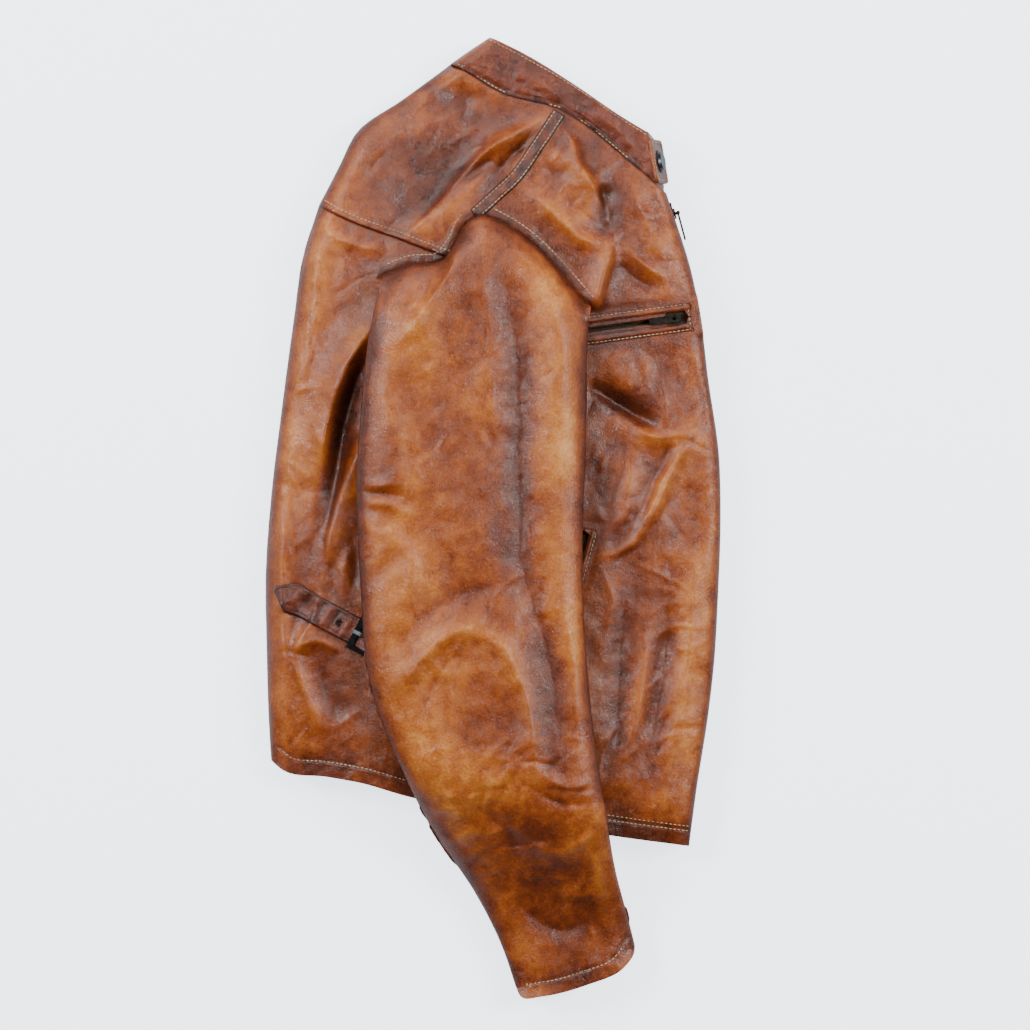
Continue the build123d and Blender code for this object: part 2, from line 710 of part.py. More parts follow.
def side_view(plane, width, *outlines):
    """A solid drawn from the side as outlines of x and z, and centred across the plane."""
    start = plane.from_local_coords((0, -width / 2, 0))
    with BuildPart() as solid:
        with BuildSketch(Plane(origin=start, x_dir=plane.x_dir, z_dir=plane.y_dir)):
            for points in outlines:
                with BuildLine():
                    Polyline(*[(x, -z) for x, z in points], close=True)
                make_face()
        extrude(amount=width)
    return solid.part


def bar(plane, centre, radius, width):
    """A round bar across the plane, centred across it."""
    with BuildPart() as rod:
        with BuildSketch(across_plane(plane, centre[1], -width / 2)):
            with Locations((centre[0], 0)):
                Circle(radius)
        extrude(amount=width)
    return rod.part


STRAP_FREE = -32.0
TIP_X = STRAP_LENGTH + 5.5
LOOP_TOP = PIVOT_RISE + LOOP_OUT
BAR_X, BAR_WIDTH, BAR_LOW, BAR_THICK = 13.5, 5.0, 4.1, 2.3
RIDE = STRAP_THICK + 0.2
STRAP_UNDER = [
    (TIP_X + 0.5, STRAP_BASE),
    (BAR_X + 10, STRAP_BASE),
    (BAR_X - 0.5, STRAP_BASE + 0.2),
    (3.5, LOOP_TOP + 0.4),
    (-3.5, LOOP_TOP + 0.4),
    (-9, STRAP_BASE + 2 * LOOP_LEATHER + 0.3),
    (STRAP_FREE, STRAP_BASE + 2 * LOOP_LEATHER + 0.3),
]
HEAD_X, HEAD_HALF, NECK_X = 80.0, 13.5, 66.0


def waist_adjuster(side, plane):
    half = STRAP_WIDTH / 2
    plan = [
        (STRAP_FREE, -half),
        (NECK_X, -half),
        (HEAD_X, -HEAD_HALF),
        (TIP_X, -1),
        (HEAD_X, HEAD_HALF),
        (NECK_X, half),
        (STRAP_FREE, half),
    ]
    over = [(x, z + RIDE) for x, z in STRAP_UNDER[::-1]]
    with BuildPart() as strap:
        with BuildSketch(plane):
            with BuildLine():
                Polyline(*plan, close=True)
            make_face()
        extrude(amount=LOOP_TOP + 4)
        add(side_view(plane, 2 * HEAD_HALF + 1, STRAP_UNDER + over), mode=Mode.INTERSECT)
        with BuildSketch(plane):
            with Locations((4, 0)):
                SlotOverall(16, 2 * (PRONG_HALF + 0.5))
            with Locations((EYELET_AT, 0)):
                Circle(EYELET_RADIUS + 0.5)
        extrude(amount=LOOP_TOP + 4, mode=Mode.SUBTRACT)
    save(strap.part, f"waist_strap_{side}")

    with BuildPart() as eyelet:
        with BuildSketch(plane.offset(STRAP_BASE)):
            with Locations((EYELET_AT, 0)):
                Circle(EYELET_RADIUS + 0.5)
        extrude(amount=RIDE)
        with BuildSketch(plane.offset(STRAP_BASE + RIDE)):
            with Locations((EYELET_AT, 0)):
                Circle(EYELET_RADIUS + 1.4)
        extrude(amount=0.5)
        with BuildSketch(plane):
            with Locations((EYELET_AT, 0)):
                Circle(EYELET_RADIUS)
        extrude(amount=LOOP_TOP, mode=Mode.SUBTRACT)
    save(eyelet.part, f"waist_eyelet_{side}")

    frame_width = 2 * (FRAME_HALF + BUCKLE_RAIL)
    far = BAR_X + BAR_WIDTH
    frame_side = [
        (-1.6, PIVOT_RISE - 1.4),
        (far, BAR_LOW),
        (far, BAR_LOW + BAR_THICK),
        (-1.6, PIVOT_RISE + 1.2),
    ]
    frame = side_view(plane, frame_width, frame_side)
    frame -= plane_box(plane, (BAR_X - 10, 0), (20, 2 * FRAME_HALF), 0, LOOP_TOP + 4)
    frame += bar(plane, (0, PIVOT_RISE), BUCKLE_BAR, 2 * FRAME_HALF + 2)
    save(frame, f"waist_buckle_{side}")

    bore = bar(plane, (0, PIVOT_RISE), BUCKLE_BAR + 0.3, frame_width)
    top = BAR_LOW + BAR_THICK + 0.3
    prong_side = [
        (1.2, PIVOT_RISE + 1.0),
        (BAR_X - 1, top),
        (far + 0.3, top),
        (far + 0.3, top + 1.3),
        (BAR_X - 2, top + 1.5),
        (0, PIVOT_RISE + 2.3),
    ]
    prong = side_view(plane, 2 * PRONG_HALF, prong_side)
    prong += bar(plane, (0, PIVOT_RISE), LOOP_OUT - 0.2, 2 * PRONG_HALF)
    save(prong - bore, f"waist_prong_{side}")

    anchor = plane_box(plane, (-14, 0), (28, LOOP_WIDTH), STRAP_BASE, STRAP_BASE + 2 * LOOP_LEATHER)
    anchor += bar(plane, (0, PIVOT_RISE), LOOP_OUT, LOOP_WIDTH)
    anchor -= bore
    anchor -= plane_box(plane, (0.5, 0), (7, 2 * PRONG_HALF + 0.8), 0, LOOP_TOP + 1)
    save(anchor, f"waist_buckle_loop_{side}")


for side in ("right", "left"):
    waist_adjuster(side, WAIST_PLANES[side])
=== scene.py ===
import math

import bmesh
import bpy
import numpy as np
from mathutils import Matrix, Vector


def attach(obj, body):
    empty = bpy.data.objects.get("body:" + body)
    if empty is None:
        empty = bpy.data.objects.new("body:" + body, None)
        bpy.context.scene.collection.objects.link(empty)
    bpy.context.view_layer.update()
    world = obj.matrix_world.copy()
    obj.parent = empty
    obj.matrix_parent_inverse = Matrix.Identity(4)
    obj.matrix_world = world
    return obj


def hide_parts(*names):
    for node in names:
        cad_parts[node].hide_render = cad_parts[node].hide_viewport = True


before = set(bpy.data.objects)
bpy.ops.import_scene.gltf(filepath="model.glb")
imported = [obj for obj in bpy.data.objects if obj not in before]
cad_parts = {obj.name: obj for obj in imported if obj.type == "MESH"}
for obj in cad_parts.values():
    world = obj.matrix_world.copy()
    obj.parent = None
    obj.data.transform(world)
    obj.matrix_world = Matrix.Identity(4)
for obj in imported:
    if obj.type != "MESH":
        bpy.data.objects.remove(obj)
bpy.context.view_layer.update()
scene = bpy.context.scene


# ---------------------------------------------------------------------------------------------------------
# Burnished leather. Vegetable-tanned cowhide, hand-rubbed with darker wax so that seams and hollows are brown
# and the crests stay tan;
# the tone also holds painted shade in the hollows and painted highlight on the crests and sheens. Each panel
# carries its own tone, from 0 (dark) to 1 (light).


def colour(code):
    """A linear colour from an sRGB code such as B87A45."""
    channels = [int(code[i : i + 2], 16) / 255 for i in (0, 2, 4)]
    linear = [c / 12.92 if c < 0.04045 else ((c + 0.055) / 1.055) ** 2.4 for c in channels]
    return linear + [1.0]


def add_node(tree, kind, values=(), **settings):
    """A node with its settings made, and its sockets set from a value or linked from another socket."""
    node = tree.nodes.new(kind)
    for name, value in settings.items():
        setattr(node, name, value)
    for key, value in dict(values).items():
        socket = node.inputs[key]
        if isinstance(value, bpy.types.NodeSocket):
            tree.links.new(value, socket)
        else:
            socket.default_value = value
    return node


def new_material(name):
    material = bpy.data.materials.new(name)
    material.use_nodes = True
    material.node_tree.nodes.clear()
    return material, material.node_tree


def shade(tree, values):
    surface = add_node(tree, "ShaderNodeBsdfPrincipled", values)
    add_node(tree, "ShaderNodeOutputMaterial", {"Surface": surface.outputs[0]})


def noise(tree, place, scale, detail=3.0, rough=0.55, distortion=0.0):
    values = {
        "Vector": place, "Scale": scale, "Detail": detail, "Roughness": rough, "Distortion": distortion
    }
    return add_node(tree, "ShaderNodeTexNoise", values).outputs[0]


def maths(tree, operation, a, b=0.0):
    return add_node(tree, "ShaderNodeMath", {0: a, 1: b}, operation=operation).outputs[0]


def ramp(tree, factor, stops):
    node = add_node(tree, "ShaderNodeValToRGB", {0: factor})
    elements = node.color_ramp.elements
    while len(elements) < len(stops):
        elements.new(0.5)
    for element, (at, value) in zip(elements, stops):
        element.position = at
        element.color = colour(value) if isinstance(value, str) else (value, value, value, 1)
    return node.outputs[0]


def leather(name, stops, grain=1.0):
    """Burnished leather. stops are its colours from the darkest, rubbed wax and painted shade in the hollows,
    to the lightest, worn crest and painted highlight.
    """
    material, tree = new_material(name)
    place = add_node(tree, "ShaderNodeTexCoord").outputs["Object"]
    cloud = noise(tree, place, 16, 4, 0.6, 0.6)
    mottle = noise(tree, place, 70, 5, 0.62, 0.4)
    fine = noise(tree, place, 420, 3, 0.6)
    tone = add_node(tree, "ShaderNodeAttribute", attribute_name="tone").outputs["Fac"]
    for source, amount in ((cloud, 0.3), (mottle, 0.34), (fine, 0.42)):
        tone = maths(
            tree, "ADD", tone, maths(tree, "MULTIPLY", maths(tree, "SUBTRACT", source, 0.5), amount)
        )
    base = ramp(tree, tone, stops)
    cells = add_node(
        tree, "ShaderNodeTexVoronoi", {"Vector": place, "Scale": 900.0}, feature="DISTANCE_TO_EDGE"
    ).outputs[0]
    pebbles = maths(tree, "MINIMUM", maths(tree, "MULTIPLY", cells, 5.0), 1.0)
    warp = add_node(tree, "ShaderNodeTexNoise", {"Vector": place, "Scale": 120.0, "Detail": 2.0}).outputs[1]
    bent = add_node(tree, "ShaderNodeMix", {0: 0.012, 4: place, 5: warp}, data_type="VECTOR").outputs[1]
    crackle = add_node(
        tree, "ShaderNodeTexVoronoi", {"Vector": bent, "Scale": 330.0}, feature="DISTANCE_TO_EDGE"
    ).outputs[0]
    plates = maths(tree, "MINIMUM", maths(tree, "MULTIPLY", crackle, 7.0), 1.0)
    crease = noise(tree, place, 190, 6, 0.7, 1.4)
    first = add_node(
        tree, "ShaderNodeBump", {"Height": pebbles, "Distance": 0.0001 * grain, "Strength": 0.5}
    ).outputs[0]
    second = add_node(
        tree, "ShaderNodeBump", {
            "Height": plates, "Distance": 0.00016 * grain, "Strength": 0.5, "Normal": first
        }
    ).outputs[0]
    bumped = add_node(
        tree, "ShaderNodeBump", {
            "Height": crease, "Distance": 0.0011 * grain, "Strength": 0.2, "Normal": second
        }
    ).outputs[0]
    rough = maths(tree, "ADD", maths(tree, "MULTIPLY", mottle, 0.26), 0.17)
    shade(
        tree,
        {
            "Base Color": base,
            "Roughness": rough,
            "Normal": bumped,
            "Specular IOR Level": 0.42,
        },
    )
    return material


TAN_STOPS = [
    (0.0, "170602"), (0.2, "361204"), (0.42, "5E2508"), (0.6, "7F3A0D"), (0.8, "A0581B"), (1.0, "C08040")
]
RED_STOPS = [(0.0, "180702"), (0.28, "381306"), (0.55, "60240A"), (0.8, "86400F"), (1.0, "B87438")]
body_leather = leather("burnished tan leather", TAN_STOPS)
dark_leather = leather("dark burnished leather", RED_STOPS, 1.2)


# ---------------------------------------------------------------------------------------------------------
# Thread, lining and tape. Waxed linen thread, pale beige and slightly soiled; charcoal twill, sewn in as
# lining and pocket bags; brown woven cotton for the tapes of the zips.

thread, tree = new_material("waxed beige thread")
place = add_node(tree, "ShaderNodeTexCoord").outputs["Object"]
dirt = noise(tree, place, 60, 2)
shade(
    tree,
    {"Base Color": ramp(tree, dirt, [(0.3, "8A6B48"), (0.55, "BFA177"), (1, "D9C39B")]), "Roughness": 0.7}
)


def cloth(name, low, high, pitch):
    """A twill cloth with a diagonal rib of that pitch in millimetres."""
    material, tree = new_material(name)
    place = add_node(tree, "ShaderNodeTexCoord").outputs["Object"]
    values = {"Vector": place, "Scale": 314.0 / pitch, "Distortion": 0.4}
    rib = add_node(tree, "ShaderNodeTexWave", values, bands_direction="DIAGONAL").outputs[1]
    bump = add_node(tree, "ShaderNodeBump", {"Height": rib, "Distance": 0.0002, "Strength": 0.6}).outputs[0]
    shade(tree, {"Base Color": ramp(tree, rib, [(0, low), (1, high)]), "Roughness": 0.75, "Normal": bump})
    return material


lining_cloth = cloth("charcoal twill lining", "17161A", "2E2B30", 0.9)
zip_tape = cloth("brown cotton zip tape", "24160D", "4A3020", 0.8)


# ---------------------------------------------------------------------------------------------------------
# Metal fittings: buckles, prongs, eyelets, snap, sliders and pullers, of enamelled steel, gunmetal and
# darkened brass. Their shapes are the frame's own solids, and only their worn finish is made here.


def metal(name, low, high, metallic, rough):
    """Worn metal: low in the scratches and high on the rubbed parts."""
    material, tree = new_material(name)
    place = add_node(tree, "ShaderNodeTexCoord").outputs["Object"]
    wear = noise(tree, place, 260, 5, 0.65)
    scuff = maths(tree, "ADD", maths(tree, "MULTIPLY", wear, 0.3), rough - 0.15)
    bump = add_node(
        tree, "ShaderNodeBump", {"Height": wear, "Distance": 0.0001, "Strength": 0.3}
    ).outputs[0]
    base = ramp(tree, wear, [(0.35, low), (0.7, high)])
    shade(tree, {"Base Color": base, "Metallic": metallic, "Roughness": scuff, "Normal": bump})
    return material


black_enamel = metal("black enamelled steel", "0B0B0C", "1E1E20", 0.35, 0.3)
gunmetal = metal("gunmetal", "23282B", "4F565A", 0.95, 0.32)
bright_steel = metal("rubbed steel", "7C8284", "B9BEC0", 1.0, 0.3)
dark_brass = metal("darkened brass", "2A1E10", "5E4828", 0.95, 0.38)
dark_metal = metal("blackened zip metal", "0E0C0A", "2E2822", 0.9, 0.35)
CAD_FINISHES = {
    "waist_buckle_right": black_enamel,
    "waist_buckle_left": black_enamel,
    "waist_prong_right": bright_steel,
    "waist_prong_left": bright_steel,
    "waist_eyelet_right": black_enamel,
    "waist_eyelet_left": black_enamel,
    "snap_cap": gunmetal,
    "snap_socket": gunmetal,
    "snap_stud": gunmetal,
    "front_zip_top_stops": dark_brass,
    "front_zip_box": dark_brass,
    "front_zip_pin": dark_brass,
    "front_zip_slider": dark_brass,
    "front_zip_puller": dark_brass,
}
for pocket_name in ("chest_pocket", "hand_pocket_right", "hand_pocket_left"):
    CAD_FINISHES[pocket_name + "_slider"] = dark_metal
    CAD_FINISHES[pocket_name + "_puller"] = dark_metal
for node_name, finish in CAD_FINISHES.items():
    metal_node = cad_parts[node_name]
    metal_node.data.materials.clear()
    metal_node.data.materials.append(finish)


# ---------------------------------------------------------------------------------------------------------
# How every leather panel is built: a fine grid stretched between four seams in plan, lifted to the height of
# the layer that it belongs to, then folded. Lengths in the panels' own lines are in millimetres.


def smooth_line(points, count=60):
    """count points along a smooth curve through points."""
    p = np.array(points, float)
    gaps = np.linalg.norm(np.diff(p, axis=0), axis=1)
    at = np.concatenate([[0], np.cumsum(gaps)])
    q = np.linspace(0, at[-1], count)
    if len(p) < 3:
        return np.stack([np.interp(q, at, p[:, k]) for k in range(p.shape[1])], axis=1)
    slope = np.gradient(p, at, axis=0)
    i = np.clip(np.searchsorted(at, q, side="right") - 1, 0, len(p) - 2)
    h = (at[i + 1] - at[i])[:, None]
    t = ((q - at[i]) / h[:, 0])[:, None]
    ends = (2 * t**3 - 3 * t**2 + 1) * p[i] + (-2 * t**3 + 3 * t**2) * p[i + 1]
    return ends + (t**3 - 2 * t**2 + t) * h * slope[i] + (t**3 - t**2) * h * slope[i + 1]


def resample(points, shares):
    """Points of a dense line at these shares of its length."""
    gaps = np.linalg.norm(np.diff(points, axis=0), axis=1)
    at = np.concatenate([[0], np.cumsum(gaps)])
    q = np.asarray(shares) * at[-1]
    return np.stack([np.interp(q, at, points[:, k]) for k in range(points.shape[1])], axis=1)


def patch(bottom, top, left, right, us, vs):
    """Plan positions of a grid between four lines. us and vs are the shares across and up."""
    b, t = resample(bottom, us)[None], resample(top, us)[None]
    lt, rt = resample(left, vs)[:, None], resample(right, vs)[:, None]
    u, v = np.asarray(us)[None, :, None], np.asarray(vs)[:, None, None]
    corners = (1 - v) * ((1 - u) * bottom[0] + u * bottom[-1]) + v * ((1 - u) * top[0] + u * top[-1])
    return (1 - v) * b + v * t + (1 - u) * lt + u * rt - corners


def near(x, y, points):
    """Distance to a line, the distance along it, its length and the side: 1 on the left of its direction."""
    best = np.full(np.shape(x), 1e9)
    along, side = np.zeros(np.shape(x)), np.ones(np.shape(x))
    start = 0.0
    for a, b in zip(points[:-1], points[1:]):
        dx, dy = b[0] - a[0], b[1] - a[1]
        length = math.hypot(dx, dy)
        t = np.clip(((x - a[0]) * dx + (y - a[1]) * dy) / length**2, 0, 1)
        px, py = x - a[0] - t * dx, y - a[1] - t * dy
        d = np.hypot(px, py)
        closer = d < best
        best = np.where(closer, d, best)
        along = np.where(closer, start + t * length, along)
        side = np.where(closer, np.sign(dx * py - dy * px), side)
        start += length
    return best, along, start, side


def ease(t):
    t = np.clip(t, 0, 1)
    return t * t * (3 - 2 * t)


def fold(x, y, points, height, left, right=None, power=1.4):
    """A ridge, or a valley if height is below 0. left and right are how far it spreads on each side."""
    d, along, length, side = near(x, y, smooth_line(points, 4 * len(points)))
    spread = np.where(side > 0, left, left if right is None else right)
    ends = ease(np.minimum(along, length - along) / (0.32 * length))
    return height * np.exp(-((d / spread) ** power)) * (0.08 + 0.92 * ends)


def value_noise(x, y, scale, seed):
    """Smooth noise from -1 to 1 whose bumps are about scale apart."""
    table = np.random.RandomState(seed).uniform(-1, 1, (64, 64))
    gx, gy = x / scale + 31.7, y / scale + 17.3
    ix, iy = np.floor(gx).astype(int), np.floor(gy).astype(int)
    fx, fy = gx - ix, gy - iy
    fx, fy = fx * fx * (3 - 2 * fx), fy * fy * (3 - 2 * fy)
    a, b = table[ix % 64, iy % 64], table[(ix + 1) % 64, iy % 64]
    c, d = table[ix % 64, (iy + 1) % 64], table[(ix + 1) % 64, (iy + 1) % 64]
    return (a * (1 - fx) + b * fx) * (1 - fy) + (c * (1 - fx) + d * fx) * fy


def creases(x, y, count, seed, box, heading, height, width):
    """Small random creases within box, mostly along heading in degrees."""
    rng = np.random.RandomState(seed)
    total = np.zeros(np.shape(x))
    for _ in range(count):
        cx, cy = rng.uniform(box[0], box[2]), rng.uniform(box[1], box[3])
        angle = math.radians(heading + rng.normal(0, 30))
        half = rng.uniform(10, 34)
        bend = rng.uniform(-0.35, 0.35) * half
        ax, ay = math.cos(angle), math.sin(angle)
        points = [
            (cx - ax * half, cy - ay * half), (cx - ay * bend, cy + ax * bend),
            (cx + ax * half, cy + ay * half)
        ]
        size = height * rng.uniform(0.2, 0.9) * rng.choice([-1, 1])
        wide = width * rng.uniform(0.8, 1.9)
        close = (np.abs(x - cx) < half + 4 * wide) & (np.abs(y - cy) < half + 4 * wide)
        if close.any():
            total[close] += fold(x[close], y[close], points, size, wide)
    return total


def seam(x, y, points, side=1, row=6.5, depth=1.0, bulge=0.8, seed=1):
    """Height and darkness beside a felled seam: a groove, a raised band on one side and pucker ticks."""
    d, along, length, which = near(x, y, points)
    s = d * which * side
    band = np.clip((s + 0.3) / 1.4, 0, 1) * np.clip((row + 3.0 - s) / 3.0, 0, 1)
    ticks = value_noise(along, s * 0.1, 3.4, seed) * np.exp(-(((s - row) / 5.5) ** 2))
    long_ticks = value_noise(along, s * 0.05, 9.0, seed + 5) * np.exp(-((s / 14) ** 2))
    height = -depth * np.exp(-((s / 1.1) ** 2)) + bulge * band - 0.45 * np.exp(-(((s - row) / 1.1) ** 2))
    height = height + 0.35 * ticks + 0.5 * long_ticks
    dark = 0.16 * np.exp(-((s / 1.3) ** 2)) + 0.14 * np.exp(-(((s - row * 0.45) / 6.0) ** 2))
    return height, dark - 0.09 * ticks - 0.08 * long_ticks


def wax_and_painted_light_tone(z, level=0.5, strength=0.075, reach=3):
    """Tone from the relief: crests lighter as painted highlight and hollows darker as painted shade, partly
    also worn crests and dark wax.
    """
    total = 0.0
    for size, weight in ((reach, 0.35), (3 * reach, 0.6)):
        soft = z.copy()
        for _ in range(3):
            for axis in (0, 1):
                padded = np.pad(soft, [(size, size) if k == axis else (0, 0) for k in (0, 1)], mode="edge")
                if axis == 0:
                    soft = (padded[: -2 * size] + padded[2 * size :] + soft) / 3
                else:
                    soft = (padded[:, : -2 * size] + padded[:, 2 * size :] + soft) / 3
        total = total + weight * np.clip(z - soft, -3, 3)
    return level + strength * total


def blotches(x, y, spots, seed):
    """Lighter and darker places, partly rubbed wax and partly painted shade in hollows and painted highlight
    on crests: x, y, half width, half height and amount of each.
    """
    tone = 0.0
    for cx, cy, wx, wy, amount in spots:
        tone = tone + amount * np.exp(-(((x - cx) / wx) ** 2 + ((y - cy) / wy) ** 2))
    warp = x + 9 * value_noise(x, y, 31, seed + 3), y + 14 * value_noise(x, y, 27, seed + 4)
    cloud = 0.06 * value_noise(warp[0] * 1.5, warp[1], 30, seed) + 0.06 * value_noise(
        warp[0] * 1.7, warp[1], 12, seed + 1
    )
    return tone + cloud + 0.05 * value_noise(x, y, 5, seed + 2)


def spread(step, total, fine=0.8, margin=10.0):
    """Shares from 0 to 1, fine beside both ends and step apart between them, on a line of that length."""
    edge = np.arange(0, margin, fine)
    middle = np.linspace(margin, total - margin, max(int((total - 2 * margin) / step), 4))
    return np.concatenate([edge, middle, total - edge[::-1]]) / total


def tucked(grid, tone, sides, depth=1.6):
    """The grid with its edges on these sides turned down by depth, as a seam or a hem turns them."""
    for side in sides:
        axis, end = {"bottom": (0, 0), "top": (0, -1), "left": (1, 0), "right": (1, -1)}[side]
        rows = [np.take(a, [end], axis=axis) for a in (grid, tone)]
        drops = []
        for share in (0.5, 1.0):
            lower = rows[0].copy()
            lower[..., 2] -= depth * share
            drops.append(lower)
        # The turned rows are painted 0.06 and 0.16 darker than the edge, a painted shade on the edge that
        # turns down.
        extra, shade_rows = drops, [rows[1] - 0.06, rows[1] - 0.16]
        if end == 0:
            grid = np.concatenate(extra[::-1] + [grid], axis=axis)
            tone = np.concatenate(shade_rows[::-1] + [tone], axis=axis)
        else:
            grid = np.concatenate([grid] + extra, axis=axis)
            tone = np.concatenate([tone] + shade_rows, axis=axis)
    return grid, tone


def leather_piece(
    name, grids, material, thickness, replaces, body="jacket", around=False, hole=None
):
    """A piece from grids of points in millimetres, each with its tone, thickened behind its outside."""
    vertices, quads, tones, start = [], [], [], 0
    for grid, tone in grids:
        rows, cols = grid.shape[:2]
        k = np.arange(rows * cols).reshape(rows, cols)
        if around:
            k = np.concatenate([k, k[:, :1]], axis=1)
        faces = np.stack([k[:-1, :-1], k[:-1, 1:], k[1:, 1:], k[1:, :-1]], axis=-1).reshape(-1, 4)
        flat = grid.reshape(-1, 3)
        if hole is not None:
            faces = faces[~hole(flat[faces].mean(axis=1))]
        vertices.append(flat * 0.001)
        quads.append(faces + start)
        tones.append(np.broadcast_to(tone, grid.shape[:2]).reshape(-1))
        start += rows * cols
    mesh = bpy.data.meshes.new(name)
    mesh.from_pydata(np.concatenate(vertices).tolist(), [], np.concatenate(quads).tolist())
    levels = np.concatenate(tones).astype(np.float32)
    mesh.attributes.new("tone", "FLOAT", "POINT").data.foreach_set("value", levels)
    mesh.materials.append(material)
    piece = bpy.data.objects.new(name, mesh)
    scene.collection.objects.link(piece)
    if thickness:
        solid = piece.modifiers.new("thickness", "SOLIDIFY")
        solid.thickness = thickness * 0.001
        solid.offset = -1
        made = bpy.data.meshes.new_from_object(piece.evaluated_get(bpy.context.evaluated_depsgraph_get()))
        piece.modifiers.clear()
        piece.data = made
        made.name = name
    loose = bmesh.new()
    loose.from_mesh(piece.data)
    bmesh.ops.delete(loose, geom=[v for v in loose.verts if not v.link_faces], context="VERTS")
    loose.to_mesh(piece.data)
    loose.free()
    piece.data.shade_smooth()
    if replaces:
        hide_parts(*replaces)
    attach(piece, body)
    return piece


# ---------------------------------------------------------------------------------------------------------
# Stitching and zip teeth. Waxed thread sewn through the leather, and metal teeth clamped on the tapes: a
# small shape repeated along lines with geometry nodes, then made into plain mesh.


def repeated(
    name, lines, pitch, size, material, body, shape="stitch", seed=3, replaces=()
):
    """Stitches or teeth along lines of points in millimetres. size is their length, width and height."""
    mesh = bpy.data.meshes.new(name)
    points = np.concatenate(lines) * 0.001
    edges, start = [], 0
    for line in lines:
        edges += [(k, k + 1) for k in range(start, start + len(line) - 1)]
        start += len(line)
    mesh.from_pydata(points.tolist(), edges, [])
    piece = bpy.data.objects.new(name, mesh)
    scene.collection.objects.link(piece)
    group = bpy.data.node_groups.new("repeat along lines", "GeometryNodeTree")
    for socket, kind in (
        ("Geometry", "NodeSocketGeometry"), ("Pitch", "NodeSocketFloat"), ("Seed", "NodeSocketInt")
    ):
        group.interface.new_socket(socket, in_out="INPUT", socket_type=kind)
    group.interface.new_socket("Geometry", in_out="OUTPUT", socket_type="NodeSocketGeometry")
    inlet = add_node(group, "NodeGroupInput")
    curve = add_node(group, "GeometryNodeMeshToCurve", {"Mesh": inlet.outputs["Geometry"]})
    spaced = add_node(
        group, "GeometryNodeResampleCurve", {"Curve": curve.outputs[0], "Length": inlet.outputs["Pitch"]},
        mode="LENGTH"
    )
    tangent = add_node(group, "GeometryNodeInputTangent")
    turn = add_node(
        group, "FunctionNodeAlignEulerToVector", {"Vector": tangent.outputs[0]}, axis="X", pivot_axis="AUTO"
    )
    jitter = {"Min": (-0.05, -0.04, -0.1), "Max": (0.05, 0.04, 0.1), "Seed": inlet.outputs["Seed"]}
    wobble = add_node(group, "FunctionNodeRandomValue", jitter, data_type="FLOAT_VECTOR")
    angles = add_node(
        group, "ShaderNodeVectorMath", {0: turn.outputs[0], 1: wobble.outputs[0]}, operation="ADD"
    )
    if shape == "stitch":
        unit = add_node(group, "GeometryNodeMeshUVSphere", {"Segments": 8, "Rings": 6, "Radius": 0.5})
        source = unit.outputs["Mesh"]
    else:
        unit = add_node(group, "GeometryNodeMeshCube", {"Size": (1, 1, 1)})
        bevelled = add_node(
            group, "GeometryNodeSubdivisionSurface",
            {"Mesh": unit.outputs["Mesh"], "Level": 2, "Edge Crease": 0.6}
        )
        source = bevelled.outputs["Mesh"]
    scaled = add_node(
        group, "GeometryNodeTransform", {"Geometry": source, "Scale": tuple(s * 0.001 for s in size)}
    )
    copies = add_node(
        group,
        "GeometryNodeInstanceOnPoints",
        {"Points": spaced.outputs[0], "Instance": scaled.outputs[0], "Rotation": angles.outputs[0]},
    )
    real = add_node(group, "GeometryNodeRealizeInstances", {"Geometry": copies.outputs[0]})
    finished = add_node(
        group, "GeometryNodeSetMaterial", {"Geometry": real.outputs[0], "Material": material}
    )
    add_node(group, "NodeGroupOutput", {"Geometry": finished.outputs[0]})
    modifier = piece.modifiers.new("repeat", "NODES")
    modifier.node_group = group
    names = {item.name: item.identifier for item in group.interface.items_tree if item.in_out == "INPUT"}
    modifier[names["Pitch"]] = pitch * 0.001
    modifier[names["Seed"]] = seed
    made = bpy.data.meshes.new_from_object(piece.evaluated_get(bpy.context.evaluated_depsgraph_get()))
    piece.modifiers.clear()
    piece.data = made
    made.name = name
    made.shade_smooth()
    if replaces:
        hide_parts(*replaces)
    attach(piece, body)
    return piece


def stitch_line(points, height, lift=0.25, count=160):
    """Points for a row of stitches that follows the height function over a line in plan."""
    plan = smooth_line(points, count)
    return np.column_stack([plan, height(plan[:, 0], plan[:, 1]) + lift])


def offset_line(points, distance):
    """A line moved to its left by distance."""
    p = np.asarray(points, float)
    slope = np.gradient(p, axis=0)
    slope /= np.linalg.norm(slope, axis=1)[:, None]
    return p + distance * np.column_stack([-slope[:, 1], slope[:, 0]])


STITCH = (2.7, 0.8, 0.6)
STITCH_PITCH = 3.7


# ---------------------------------------------------------------------------------------------------------
# The body: yoke, back, two fronts, hem facing and lining, of cowhide sewn edge to edge, folded lengthwise.
# First how high its upper and lower layers lie, and the folds that it took when it was laid down.

HEM = smooth_line(
    [
        (-190.4, -207.4), (-179.4, -215.9), (-141.5, -221), (-111.7, -226), (-71, -237.5), (-10, -249),
        (98, -270.3), (167.6, -280.3)
    ], 90
)
BACK_EDGE = smooth_line(
    [
        (-190.4, -207.4), (-191.7, -188.7), (-194.4, -113), (-195, -45), (-190.4, 19.6), (-182.2, 88),
        (-171.3, 169.2), (-163.2, 223.6), (-149.6, 268)
    ],
    120,
)
FRONT_EDGE = smooth_line(
    [
        (167.6, -280.3), (174.2, -231), (184.2, -167), (189.4, -120), (192.2, -72), (194.6, 9), (193.5, 50),
        (183.8, 120.7), (178.5, 164), (170.5, 207), (148.4, 277.1)
    ],
    160,
)
YOKE_SEAM = smooth_line(
    [(-149.6, 268), (-135, 259), (-119.9, 251.9), (-81.6, 237.6), (-60, 229), (-40.8, 222), (-10, 214)], 80
)
